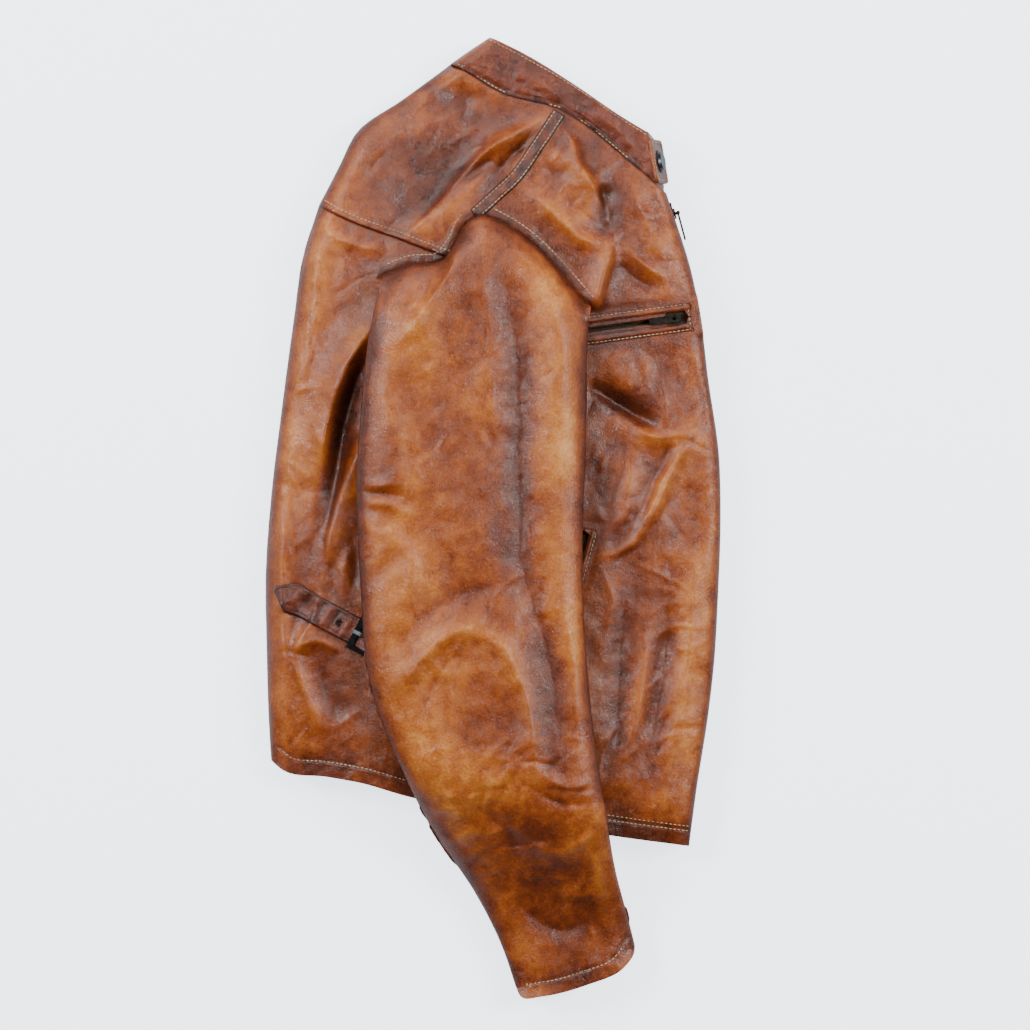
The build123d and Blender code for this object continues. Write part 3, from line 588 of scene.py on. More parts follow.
COLLAR_SEAM = smooth_line([(-36.6, 389), (-17, 376.6), (5.1, 363.3), (47.6, 351.6), (57.8, 348.6)], 60)
COLLAR_SEAM_FRONT = smooth_line([(57.8, 348.6), (78.2, 335.5), (119, 301.8), (148.4, 277.1)], 60)
COLLAR_WHOLE = np.concatenate([COLLAR_SEAM, COLLAR_SEAM_FRONT[1:]])
YOKE_BACK = smooth_line([(-149.6, 268), (-133, 300), (-117.3, 330.2), (-77, 359.5), (-36.6, 389)], 100)
SHOULDER = smooth_line([(-13.5, 256), (1.7, 273.7), (18.5, 289.5), (38, 318), (57.8, 348.6)], 60)
BACK_LINE = np.concatenate([BACK_EDGE[::6], YOKE_BACK[::6], [[-3.4, 411.4]]])
EDGE_Z = 26.0
BACK_ROUND = 17
FRONT_ROUND = 13
CHEST = dict(
    origin=(102, 162.5, 47.0), x=(0.987872, 0.138836, -0.069521), y=(-0.138888, 0.9903, 0.004109),
    out=(0.069417, 0.005596, 0.997572)
)
HAND_RIGHT = dict(
    origin=(56, -84, 50.36), x=(0.2756, 0.96113, -0.016545), y=(-0.959189, 0.276094, 0.061054),
    out=(0.063249, -0.000957, 0.997997)
)
HAND_LEFT = dict(
    origin=(56, -84, 18.0), x=(0.275637, 0.961262, 0), y=(0.961262, -0.275637, 0), out=(0, 0, -1)
)
WAIST_RIGHT = dict(
    origin=(-101.4, -104.4, 48.66), x=(-0.883169, 0.463674, -0.070848), y=(-0.462123, -0.886006, -0.037899),
    out=(-0.080344, -0.000731, 0.996767)
)
WAIST_LEFT = dict(
    origin=(-101.4, -104.4, 15.91), x=(-0.883781, 0.463996, -0.060318), y=(0.462426, 0.885815, 0.038647),
    out=(0.071363, 0.006263, -0.997431)
)


def on_plane(plane, u, v, w=0.0):
    """Points at u, v and w in a plane's own directions."""
    u, v, w = np.broadcast_arrays(u, v, w)
    x, y, out = np.array(plane["x"]), np.array(plane["y"]), np.array(plane["out"])
    return np.array(plane["origin"]) + u[..., None] * x + v[..., None] * y + w[..., None] * out


def in_plane(plane, x, y):
    """How far x, y is along and across a plane, and the plane's height there."""
    dx, dy = x - plane["origin"][0], y - plane["origin"][1]
    (ax, ay, _), (bx, by, _), (nx, ny, nz) = plane["x"], plane["y"], plane["out"]
    return dx * ax + dy * ay, dx * bx + dy * by, plane["origin"][2] - (nx * dx + ny * dy) / nz


def front_gap(x, y):
    return np.maximum(np.interp(y, FRONT_EDGE[:, 1], FRONT_EDGE[:, 0]) - x, 0)


def back_gap(x, y):
    return near(x, y, BACK_LINE)[0]


def body_height(x, y, upper):
    """Height of the body's upper or lower face, before it is folded."""
    back, front = back_gap(x, y), front_gap(x, y)
    neck = ease((y - 235) / 130)
    hem = ease((-195 - 0.22 * x - y) / 75)
    if upper:
        crown = 38.5 + 13 * ease(back / 120) - 9.5 * ease((x - 30) / 145) - 6 * neck - 7 * hem
    else:
        crown = 4.0 + 12.5 * ease((back - 18) / 80) * ease((front - 10) / 85) + 4 * neck
    crown = EDGE_Z - 4 + (crown - EDGE_Z + 4) * np.sqrt(1 - (1 - np.clip(back / BACK_ROUND, 0, 1)) ** 2)
    lip = EDGE_Z + (6 if upper else -6)
    return lip + (crown - lip) * np.sqrt(1 - (1 - np.clip(front / FRONT_ROUND, 0, 1)) ** 2)


# Ridges and valleys of the body: the line, the height, then the widths beside it and the sharpness.
BODY_FOLDS = (
    ([(56, 348), (13.6, 324), (-4.3, 312.8), (-42.5, 270.3), (-80.2, 233.8)], 9.5, 14, 7, 1.2),
    ([(12, 319), (0.9, 308.6), (-20, 291), (-45, 269.5), (-74, 244)], -7.0, 7, 16),
    ([(42.5, 337.5), (23, 315.4), (3.7, 293.5), (-12.8, 266)], -4.5, 5.5),
    ([(-60, 300), (-30, 300), (5, 315)], -2.0, 12),
    ([(-120, 300), (-90, 320), (-40, 345)], 1.8, 18),
    ([(58.4, 334), (68, 318.8), (71.4, 305.2), (86.7, 278.8), (104.1, 241)], 7.0, 5, 18, 1.2),
    ([(104.1, 243), (94.4, 206.6), (84, 165)], 7.0, 4.5, 12, 1.25),
    ([(24.2, 285.8), (40.5, 270.3), (57.8, 252.5), (82.5, 234.6), (102.9, 238.4)], 4.5, 8, 6, 1.2),
    ([(94, 288), (95, 264), (103, 242)], -7.0, 8),
    ([(40, 300), (55, 292), (70, 300)], -1.6, 6),
    ([(112, 290), (126, 262), (140, 232), (150, 210)], 2.2, 9),
    ([(106, 240), (125, 218), (150, 202)], 2.8, 6),
    ([(104, 222), (122, 203), (146, 192)], -2.4, 6),
    ([(76, 116), (92, 106), (118, 90), (148, 74)], -7.0, 9, 5),
    ([(112, 82), (140, 69), (160, 72), (177, 83)], 4.4, 4.5, 12, 1.2),
    ([(177, 83), (164, 62), (146, 32), (130, 0), (118, -18)], 4.6, 9, 6, 1.25),
    ([(154, 66), (140, 40), (124, 8)], -2.4, 6),
    ([(122, 62), (116, 30), (112, 4), (96, -22)], 2.4, 8),
    ([(150, 40), (138, 8), (112, -26), (84, -34)], 3.0, 5),
    ([(173, -10), (170, -80), (160, -160), (142, -252)], 3.2, 9),
    ([(150, -60), (146, -130), (132, -200)], -3.0, 9),
    ([(132, -80), (126, -150), (112, -215)], 2.6, 8),
    ([(113, -60), (108, -130), (104, -210)], -2.4, 7),
    ([(-92, 178), (-104, 160), (-118, 140), (-130.6, 114.8), (-143, 71.4), (-150, 20)], 8.5, 6, 16, 1.25),
    ([(-98, 152), (-114, 122), (-127, 80), (-135, 30), (-145, -30)], -8.0, 9, 7),
    ([(-104, 92), (-115, 55), (-131, 18), (-145, -55)], 6.5, 13, 7, 1.25),
    ([(-146, -50), (-152, -84), (-168, -112), (-160, -150), (-142, -190)], 3.8, 8, 5, 1.25),
    ([(-172, -114), (-150, -104), (-128, -114)], 3.4, 6, 4, 1.2),
    ([(-150, -118), (-140, -150), (-128, -180)], -2.4, 8),
    ([(-147, 262), (-143, 247), (-118, 233), (-88, 228)], 3.0, 5, 7, 1.25),
    ([(-149, 245), (-149, 205), (-156, 150)], 2.6, 13),
    ([(-183, 20), (-181, -40), (-178, -110), (-176, -190)], 2.6, 7),
    ([(-120, -20), (-128, -48), (-126, -70)], 2.0, 6),
)


def body_folds(x, y):
    """The folds of the upper layer: shoulder, front, back, then small creases."""
    z = sum(fold(x, y, *row) for row in BODY_FOLDS)
    z += creases(x, y, 60, 11, (-185, -235, -85, 230), 74, 1.0, 2.0)
    z += creases(x, y, 80, 12, (80, -250, 185, 150), 66, 1.1, 2.0)
    z += creases(x, y, 34, 13, (-110, 240, 140, 380), 48, 0.9, 1.9)
    z += 1.1 * value_noise(x, y, 34, 5) + 0.45 * value_noise(x, y, 13, 6) + 0.16 * value_noise(x, y, 5, 7)
    return z


def armhole_gap(x, y):
    return near(x, y, ARMHOLE[::4])


def body_seams(x, y):
    """Height and darkness beside the seams of the upper layer."""
    total, dark = seam(x, y, YOKE_SEAM[::3], 1, 6.0, 0.9, 1.0, 21)
    collar_height, collar_dark = seam(x, y, COLLAR_WHOLE[::3], -1, 60, 0.8, 0.0, 22)
    total, dark = total + collar_height, dark + collar_dark
    d, along, length, which = armhole_gap(x, y)
    s = np.where(which > 0, d, 99)
    ticks = value_noise(along, s * 0.1, 3.6, 25) * np.exp(-(((s - 5) / 6) ** 2))
    total = total + 1.2 * ease((10 - s) / 4) - 0.5 * np.exp(-(((s - 7) / 1.1) ** 2)) + 0.35 * ticks
    dark = dark + 0.3 * np.exp(-(((s - 3) / 3.2) ** 2)) + 0.12 * np.exp(-((s / 14) ** 2)) - 0.08 * ticks
    d, along = near(x, y, HEM[::3])[:2]
    ticks = value_noise(along, d * 0.1, 4.5, 31) * np.exp(-(((d - 10) / 8) ** 2))
    row = 13.0
    total = total + 0.7 * ease((row + 1 - d) / 2) - 0.4 * np.exp(-(((d - row) / 1.2) ** 2)) + 0.45 * ticks
    dark = dark + 0.14 * np.exp(-(((d - row) / 2.5) ** 2)) + 0.1 * ease((row - d) / 3) - 0.1 * ticks
    return total, dark


def body_surface(x, y):
    """The body's finished upper surface, level where the zips and the buckle sit on it."""
    margin = ease(back_gap(x, y) / 15) * ease(front_gap(x, y) / 12)
    collar = near(x, y, COLLAR_WHOLE[::4])[0]
    base = body_height(x, y, True)
    base = base + (42.0 - base) * np.exp(-((collar / 16) ** 2)) * margin
    z = base + 1.3 * body_folds(x, y) * margin * ease(collar / 18 + 0.25) + body_seams(x, y)[0]
    for plane, middle, half_u, half_v, drop in (
        (CHEST, 4, 70, 14, 0.9), (HAND_RIGHT, 4, 80, 14, 0.9), (WAIST_RIGHT, 4, 38, 15, 0.0)
    ):
        u, v, level = in_plane(plane, x, y)
        mask = ease((half_u + 10 - np.abs(u - middle)) / 10) * ease((half_v + 8 - np.abs(v)) / 8)
        z = z + (level - drop - z) * mask
    return z


def under_surface(x, y):
    z = body_height(x, y, False) + 0.9 * value_noise(x, y, 30, 8) * ease(back_gap(x, y) / 16) * ease(
        front_gap(x, y) / 14
    )
    for plane, half_u, half_v, drop in ((HAND_LEFT, 84, 15, 0.9), (WAIST_LEFT, 38, 15, 0.0)):
        u, v, level = in_plane(plane, x, y)
        mask = ease((half_u + 10 - np.abs(u)) / 10) * ease((half_v + 8 - np.abs(v)) / 8)
        z = z + (level + drop - z) * mask
    return z


# Rubbed wax places of the body, among them painted shade in its hollows and painted highlight on its crests
# and sheens: x, y, half width, half height and amount.
BODY_WAX_AND_PAINTED_LIGHT_SPOTS = (
    (-50, 350, 50, 22, 0.04),
    (-60, 300, 90, 50, -0.13),
    (-20, 318, 30, 16, -0.08),
    (-120, 300, 20, 26, 0.08),
    (0, 332, 36, 8, 0.08),
    (-140, 200, 22, 50, 0.12),
    (-165, 80, 16, 70, 0.06),
    (-128, 60, 12, 66, -0.16),
    (-150, 0, 20, 50, 0.02),
    (-110, -20, 14, 40, -0.10),
    (-165, -30, 24, 30, -0.10),
    (-130, -150, 40, 40, -0.04),
    (-140, -205, 60, 8, -0.10),
    (-140, -216, 60, 6, -0.10),
    (50, 290, 26, 30, 0.10),
    (70, 250, 30, 16, 0.10),
    (101, 262, 11, 22, -0.16),
    (130, 250, 16, 40, 0.06),
    (118, 212, 26, 14, -0.08),
    (130, 178, 50, 8, -0.20),
    (130, 148, 50, 8, -0.16),
    (130, 128, 46, 14, 0.04),
    (110, 98, 30, 10, -0.28),
    (165, 100, 14, 24, 0.04),
    (150, 40, 24, 40, 0.10),
    (100, 14, 14, 40, -0.20),
    (88, -20, 10, 50, -0.10),
    (110, -120, 16, 70, -0.12),
    (140, -100, 12, 90, -0.04),
    (165, -130, 14, 90, 0.14),
    (128, -215, 30, 24, 0.02),
    (130, -266, 60, 10, -0.16),
)


def body_tone(x, y, z):
    # Painted highlight on crests and painted shade in hollows from the relief, rubbed wax places with painted
    # shade and highlight among them, and darker seams.
    tone = wax_and_painted_light_tone(z) + blotches(x, y, BODY_WAX_AND_PAINTED_LIGHT_SPOTS, 41) - body_seams(x, y)[1]
    # Painted shade in the hollow below the yoke, painted highlight on the ridge beside it, and painted shade
    # in the back's valley and the front's shoulder hollow.
    tone = tone - fold(x, y, [(-92, 254), (-50, 274), (-16, 300), (0, 316)], 0.17, 11, 9)
    tone = tone + fold(x, y, [(4, 300), (-30, 270), (-60, 246), (-84, 230)], 0.12, 7)
    tone = tone - fold(x, y, [(-100, 150), (-116, 120), (-129, 80), (-136, 30), (-144, -20)], 0.16, 8)
    tone = tone - fold(x, y, [(96, 286), (100, 262), (116, 240), (128, 226)], 0.16, 12)
    return 0.23 + np.logaddexp(0, (tone - 0.23) * 10) / 10


ARMHOLE = smooth_line(
    [
        (-93.2, 207.4), (-70.6, 216), (-44, 219.5), (-33, 232), (-22, 252), (-10, 258), (8, 251),
        (36.4, 231), (51.3, 216), (68, 197), (82.5, 179.4)
    ],
    120,
)
STEP = 1.7


def wrapped(bottom, top, left, right, width, tall, low_step=4.0):
    """Grids of a panel folded round its left side: its underside from right to left, then its upper side."""
    turn = 1 - np.cos(np.linspace(0, math.pi / 2, 12)[:-1])
    flat = width - BACK_ROUND
    us = np.concatenate([turn * BACK_ROUND / width, np.linspace(BACK_ROUND / width, 1, int(flat / STEP))])
    low_us = np.concatenate(
        [turn * BACK_ROUND / width, np.linspace(BACK_ROUND / width, 1, int(flat / low_step))]
    )
    vs = spread(STEP, tall)
    plan = patch(bottom, top, left, right, us, vs)
    upper = np.dstack([plan, body_surface(plan[..., 0], plan[..., 1])])
    tone = body_tone(plan[..., 0], plan[..., 1], upper[..., 2])
    low_plan = patch(bottom, top, left, right, low_us, vs)[:, :0:-1]
    lower = np.dstack([low_plan, under_surface(low_plan[..., 0], low_plan[..., 1])])
    low_tone = 0.5 + blotches(low_plan[..., 0], low_plan[..., 1], (), 44)
    return lower, low_tone, upper, tone


def folded_panel(name, node, bottom, top, left, right, width, tall):
    lower, low_tone, upper, tone = wrapped(bottom, top, left, right, width, tall)
    upper, tone = tucked(upper, tone, ("bottom", "top", "right"))
    lower, low_tone = tucked(lower, low_tone, ("bottom", "top", "left"), -1.6)
    grid = np.concatenate([lower, upper], axis=1)
    return leather_piece(
        name, [(grid, np.concatenate([low_tone, tone], axis=1))], body_leather, 1.3, [node]
    )


# Back yoke: one piece of leather over both shoulders, folded at its middle.
yoke_side = smooth_line(
    [(-10, 214), (-13.5, 256), (1.7, 273.7), (18.5, 289.5), (38, 318), (57.8, 348.6)], 80
)
folded_panel("back_yoke_leather", "back_yoke", YOKE_SEAM, COLLAR_SEAM, YOKE_BACK, yoke_side, 140, 160)

# Back panel: one piece folded at its middle, from the yoke to the hem.
side_seam = smooth_line([(-10, -249), (-12, 0), (-10, 214)], 120)
back_hem = np.concatenate([HEM[HEM[:, 0] <= -12], [(-10, -249)]])
folded_panel("back_panel_leather", "back_panel", back_hem, YOKE_SEAM, BACK_EDGE, side_seam, 180, 470)

# Front panels: from the shoulder and collar to the hem, each ending at the front zip.
front_hem = np.concatenate([[(-10, -249)], HEM[HEM[:, 0] > -8]])
front_top = np.concatenate([SHOULDER, COLLAR_SEAM_FRONT[1:]])
front_side = smooth_line([(-10, -249), (-12, 0), (-10, 200), (-13.5, 256)], 120)
front_width = 190
edge_turn = 1 - (1 - np.sin(np.linspace(0, math.pi / 2, 10)[1:])) * FRONT_ROUND / front_width


def front_hole(points):
    """Where the pockets' windows are cut out of the right front."""
    cut = np.zeros(len(points), bool)
    for plane, half_u in ((CHEST, 66.5), (HAND_RIGHT, 77.5)):
        u, v = in_plane(plane, points[:, 0], points[:, 1])[:2]
        cut |= (np.abs(u) < half_u) & (np.abs(v) < 11.3)
    return cut


flat = front_width - FRONT_ROUND
us = np.concatenate([np.linspace(0, 1 - FRONT_ROUND / front_width, int(flat / STEP)), edge_turn])
plan = patch(front_hem, front_top, front_side, FRONT_EDGE, us, spread(STEP, 580))
grid = np.dstack([plan, body_surface(plan[..., 0], plan[..., 1])])
tone = body_tone(plan[..., 0], plan[..., 1], grid[..., 2])
grid, tone = tucked(grid, tone, ("bottom", "top", "left", "right"))
leather_piece(
    "front_right_leather", [(grid, tone)], body_leather, 1.3, ["front_panel_right"], hole=front_hole
)


def front_left_hole(points):
    u, v = in_plane(HAND_LEFT, points[:, 0], points[:, 1])[:2]
    return (np.abs(u) < 77.5) & (np.abs(v) < 11.3)


us = np.concatenate([np.linspace(0, 1 - FRONT_ROUND / front_width, 50), edge_turn])
plan = patch(front_hem, front_top, front_side, FRONT_EDGE, us, spread(3.4, 580))
grid = np.dstack([plan, under_surface(plan[..., 0], plan[..., 1])])
tone = 0.5 + blotches(plan[..., 0], plan[..., 1], (), 45)
grid, tone = tucked(grid, tone, ("bottom", "top", "left", "right"), -1.6)
leather_piece(
    "front_left_leather", [(grid[:, ::-1], tone[:, ::-1])], body_leather, 1.3, ["front_panel_left"],
    hole=front_left_hole
)

# Hem facing: a band of the same leather turned up inside the hem.
hem_line = HEM[::2]
us = np.linspace(0, 1, 130)
band_rows = []
for share in np.linspace(0, 1, 12):
    line = resample(hem_line, us) + np.array([[0, 1.2 + 20.5 * share]])
    line[:, 0] = np.clip(line[:, 0], -188.5, 158)
    band_rows.append(line)
plan = np.array(band_rows)
upper = np.dstack([plan, body_surface(plan[..., 0], plan[..., 1]) - 2.3])
lower = np.dstack([plan, under_surface(plan[..., 0], plan[..., 1]) + 2.3])
grid = np.concatenate([lower[:, ::-1], upper], axis=1)
leather_piece(
    "hem_facing_leather", [(grid, 0.42 + 0.08 * value_noise(grid[..., 0], grid[..., 1], 12, 3))],
    dark_leather, 0.9, ["hem_facing"]
)

# Body lining: twill sewn to the facings, folded at the back like the leather, and open down the front.
lining_back = smooth_line([(-182, -192), (-186, -45), (-174, 88), (-155, 223), (-110, 322), (-34, 380)], 90)
lining_front = smooth_line([(150, -250), (176, -72), (180, 9), (165, 164), (134, 276)], 90)
lining_hem = smooth_line([(-182, -192), (-110, -204), (-10, -226), (150, -250)], 40)
lining_neck = smooth_line([(-34, 380), (5, 356), (56, 340), (134, 276)], 40)
us, vs = np.linspace(0, 1, 60), np.linspace(0, 1, 120)
plan = patch(lining_hem, lining_neck, lining_back, lining_front, us, vs)
wave = 0.4 * value_noise(plan[..., 0], plan[..., 1], 22, 9)
turn = np.sqrt(1 - (1 - np.clip(us / 0.06, 0, 1)) ** 2)[None]
middle = 0.5 * (
    body_height(plan[..., 0], plan[..., 1], True) + body_height(plan[..., 0], plan[..., 1], False)
)
half = 0.5 * (
    body_height(plan[..., 0], plan[..., 1], True) - body_height(plan[..., 0], plan[..., 1], False)
) - 15
middle = middle - 5
ceiling = body_surface(plan[..., 0], plan[..., 1]) - 6.5
top = np.minimum(middle + np.maximum(half, 0.8) * turn + wave, ceiling)
bottom = np.minimum(middle - np.maximum(half, 0.8) * turn + wave, top - 0.8)
upper, lower = np.dstack([plan, top]), np.dstack([plan, bottom])
grid = np.concatenate([lower[:, :0:-1], upper], axis=1)
leather_piece("body_lining_cloth", [(grid, 0.5)], lining_cloth, 0.6, ["body_lining"])

rows = [
    stitch_line(offset_line(YOKE_SEAM, 6.0)[2:-8], body_surface),
    stitch_line(offset_line(ARMHOLE, 7.0)[4:48], body_surface),
    stitch_line(offset_line(ARMHOLE, 7.0)[60:117], body_surface),
    stitch_line(offset_line(HEM, 13.0)[1:-1], body_surface),
    stitch_line(offset_line(HEM[HEM[:, 0] > 60], 17.0)[:-1], body_surface),
]
repeated("body_stitching", rows, STITCH_PITCH, STITCH, thread, "jacket")


# ---------------------------------------------------------------------------------------------------------
# Right sleeve: two pieces of cowhide sewn along both edges, with a facing inside the cuff and a twill lining.
# The top piece runs from edge to edge over the sleeve, and the under piece lies on the body.

SLEEVE_LEFT = smooth_line(
    [
        (18.7, -400), (8.5, -369.8), (-17.5, -317.9), (-49.3, -269.5), (-74.8, -217.6), (-87.6, -188.7),
        (-103.7, -140.3), (-111.7, -58.7), (-114.4, -4.3), (-115.2, 30), (-111.7, 88), (-104.9, 153),
        (-93.2, 207.4)
    ],
    140,
)
SLEEVE_RIGHT = smooth_line(
    [
        (121.5, -366), (116, -344), (104.6, -301), (94.6, -243), (85.9, -185.8), (78.8, -113.9),
        (75.9, -13.6), (78, 40), (79.4, 103.7), (79.5, 134), (82.5, 179.4)
    ],
    140,
)
CUFF = smooth_line(
    [
        (18.7, -400), (24.1, -409.7), (42.8, -408.5), (80.2, -398.7), (111.8, -384.2), (121, -371),
        (121.5, -366)
    ],
    60
)


def sleeve_gap(x, y):
    return np.minimum(near(x, y, SLEEVE_LEFT[::5])[0], near(x, y, SLEEVE_RIGHT[::5])[0])


def sleeve_height(x, y, upper):
    """Height of the sleeve's upper or lower face. It lies on the body, and its cuff on the other sleeve."""
    edge, head = sleeve_gap(x, y), armhole_gap(x, y)[0]
    low = 61.0 - 45.5 * ease((-215 - y - 0.25 * x) / 125)
    thick = 22.0 - 2 * ease((-150 - y) / 200)
    middle = low + 0.36 * thick
    rim = low + (thick if upper else 0.8)
    full = middle + (rim - middle) * np.sqrt(1 - (1 - np.clip(edge / 34, 0, 1)) ** 2.2)
    if not upper:
        return full
    seam_z = body_height(x, y, True) + 0.5 + 6 * ease((x + 60) / 60) * ease((75 - x) / 60)
    return seam_z + (full - seam_z) * np.sqrt(1 - (1 - np.clip(head / 42, 0, 1)) ** 2)


# Ridges and valleys of the right sleeve, in the same order of values.
SLEEVE_FOLDS = (
    ([(-19, 256), (-28, 232), (-36.8, 206.6), (-59.8, 172.7), (-84, 140)], 8.0, 18, 5, 1.2),
    ([(-58, 216), (-56, 196), (-74, 166)], -3.4, 9),
    (
        [(6, 250), (8, 211), (20, 150), (23, 100), (24, 30), (25, -36), (44, -104), (57, -172), (60, -240)],
        -4.4, 14
    ),
    ([(28, 236), (46, 200), (58, 150), (60, 90), (56, 20)], 4.0, 18),
    ([(64, 200), (75, 169), (79, 115), (74, 40)], 2.0, 6),
    ([(-20, 235), (-8, 190), (-4, 120), (-2, 60)], 2.5, 16),
    ([(-84, 140), (-92, 110), (-80, 60), (-84, 10)], 2.2, 8),
    ([(-112, 30), (-96, 27), (-78, 30)], 2.4, 3.5),
    ([(-112, 14), (-90, 12), (-66, 2)], 2.8, 4),
    ([(-112, 22), (-92, 20), (-70, 16)], -2.4, 3.5),
    ([(-112, -8), (-88, -14), (-70, -30), (-78, -80)], 2.2, 6),
    ([(-96, -150), (-80, -142), (-58, -118), (-32, -96), (0, -88)], 4.0, 13, 8),
    ([(-90, -120), (-60, -84), (-20, -62), (20, -60)], -2.4, 11),
    ([(-30, -92), (2, -104), (24, -140), (34, -190), (36, -240)], 3.6, 8),
    ([(58, -60), (70, -120), (74, -180)], 2.8, 8),
    ([(36, -212), (60, -226), (90, -222)], 2.0, 5),
    ([(30, -228), (58, -240), (92, -240)], -2.0, 5),
    ([(24, -268), (52, -284), (72, -276), (90, -262)], 2.4, 5),
    ([(-20, -240), (10, -262), (20, -300)], -2.0, 7),
    ([(-52, -228), (-30, -236), (-8, -232)], 1.8, 6),
    ([(-50, -262), (-38, -276), (-24, -300)], 2.2, 5),
    ([(50, -315), (80, -322), (104, -316)], 1.6, 5),
    ([(20, -330), (56, -352), (92, -340)], -1.6, 6),
    ([(96, -250), (88, -290), (96, -330)], 1.8, 5),
)


def sleeve_folds(x, y):
    """The folds of the sleeve's top piece: shoulder, edge, elbow, then small creases."""
    z = sum(fold(x, y, *row) for row in SLEEVE_FOLDS)
    z += creases(x, y, 110, 51, (-105, -370, 95, 220), 72, 0.9, 2.0)
    z += creases(x, y, 70, 52, (-60, -330, 95, -190), 20, 1.0, 2.0)
    z += (
        1.1 * value_noise(x, y, 38, 55) + 0.5 * value_noise(x, y, 14, 56)
        + 0.17 * value_noise(x, y, 5.5, 57)
    )
    return z


HIND_SEAM = [
    (-76, 212), (-84.6, 202), (-94, 169), (-106.3, 114.8), (-112, 34), (-113.5, -18.7), (-110, -70)
]


def sleeve_seams(x, y):
    d, along, length, which = armhole_gap(x, y)
    ticks = value_noise(along, d * 0.08, 5.0, 61) * np.exp(-((d / 12) ** 2))
    height, dark = (
        -1.2 * np.exp(-((d / 1.6) ** 2)) + 0.6 * ticks, 0.3 * np.exp(-((d / 2.2) ** 2))
        + 0.1 * np.exp(-((d / 12) ** 2))
    )
    more, tint = seam(x, y, HIND_SEAM, 1, 2.5, 0.8, 0.3, 62)
    d, along, length, which = near(x, y, CUFF[::3])
    ticks = value_noise(along, d * 0.1, 4.0, 63) * np.exp(-(((d - 9) / 7) ** 2))
    height = height + more + 0.5 * ease((13 - d) / 2) - 0.5 * np.exp(-(((d - 12) / 1.2) ** 2)) + 0.4 * ticks
    dark = dark + 0.6 * tint + 0.14 * np.exp(
        -(((d - 12) / 3) ** 2)
    ) + 0.06 * ease((12 - d) / 3) - 0.1 * ticks
    return height, dark


def sleeve_surface(x, y):
    margin = ease(sleeve_gap(x, y) / 18) * ease(armhole_gap(x, y)[0] / 9 + 0.1)
    return sleeve_height(x, y, True) + 1.25 * sleeve_folds(x, y) * margin + sleeve_seams(x, y)[0]


# Rubbed wax places of the sleeve, among them painted shade along its valley and painted sheen on its head and
# right crest: x, y, half width, half height and amount.
SLEEVE_WAX_AND_PAINTED_LIGHT_SPOTS = (
    (-12, 190, 26, 50, -0.14),
    (8, 220, 10, 40, -0.14),
    (45, 190, 16, 50, 0.18),
    (-50, 130, 30, 40, 0.14),
    (-62, 180, 10, 30, 0.08),
    (22, 70, 11, 90, -0.12),
    (60, 60, 14, 70, 0.14),
    (-90, 44, 14, 40, -0.26),
    (-40, 60, 30, 60, 0.04),
    (-20, 20, 20, 40, -0.04),
    (-60, -10, 40, 30, 0.10),
    (-44, -66, 44, 30, 0.18),
    (16, -20, 20, 26, -0.16),
    (52, -50, 16, 30, 0.10),
    (66, 6, 16, 22, -0.12),
    (-20, -130, 50, 30, 0.20),
    (40, -130, 14, 40, -0.24),
    (54, -180, 18, 40, -0.20),
    (72, -90, 9, 40, 0.16),
    (-60, -190, 26, 40, 0.16),
    (0, -220, 30, 30, 0.12),
    (37, -268, 22, 24, -0.24),
    (68, -230, 24, 12, -0.18),
    (10, -320, 36, 30, 0.02),
    (96, -300, 12, 30, 0.06),
    (60, -350, 50, 20, -0.08),
    (60, -392, 60, 8, -0.12),
)
turn = (1 - np.cos(np.linspace(0, math.pi / 2, 12)[:-1])) * 34 / 190
us = np.concatenate([turn, np.linspace(34 / 190, 1 - 34 / 190, int(122 / STEP)), 1 - turn[::-1]])
plan = patch(CUFF, ARMHOLE, SLEEVE_LEFT, SLEEVE_RIGHT, us, spread(STEP, 620))
x, y = plan[..., 0], plan[..., 1]
grid = np.dstack([plan, sleeve_surface(x, y)])
# Painted highlight on the sleeve's crests and painted shade in its hollows, with rubbed wax places, painted
# shade along its valley and painted sheen on its head, and darker seams.
tone = 0.01 + wax_and_painted_light_tone(grid[..., 2]) + blotches(x, y, SLEEVE_WAX_AND_PAINTED_LIGHT_SPOTS, 71) - sleeve_seams(x, y)[1]
tone = 0.23 + np.logaddexp(0, (tone - 0.23) * 10) / 10
grid, tone = tucked(grid, tone, ("bottom", "top"), 2.0)
leather_piece("right_sleeve_top_leather", [(grid, tone)], body_leather, 1.3, ["right_sleeve_top"])

low_vs = spread(5.0, 620)
low_vs = low_vs[low_vs < 0.9]
plan = patch(CUFF, ARMHOLE, SLEEVE_LEFT, SLEEVE_RIGHT, us, low_vs)
x, y = plan[..., 0], plan[..., 1]
grid = np.dstack([plan, sleeve_height(x, y, False)])
tone = 0.5 + blotches(x, y, (), 75)
leather_piece(
    "right_sleeve_under_leather", [(grid[:, ::-1], tone[:, ::-1])], body_leather, 1.3,
    ["right_sleeve_under"]
)


def ring(bottom, top, left, right, us, vs, high, low):
    """A tube flattened between four lines, as one closed loop across by vs up."""
    plan = patch(bottom, top, left, right, us, vs)
    x, y = plan[..., 0], plan[..., 1]
    upper, lower = np.dstack([plan, high(x, y)]), np.dstack([plan, low(x, y)])
    return np.concatenate([upper, lower[:, -2:0:-1]], axis=1)


def sleeve_inside(inset):
    """Heights inside the right sleeve, this far in from its faces."""
    def high(x, y):
        top, low = sleeve_height(x, y, True), sleeve_height(x, y, False)
        return low + (top - low) * (1 - inset / 25)
    def low(x, y):
        top, under = sleeve_height(x, y, True), sleeve_height(x, y, False)
        return under + (top - under) * inset / 25
    return high, low


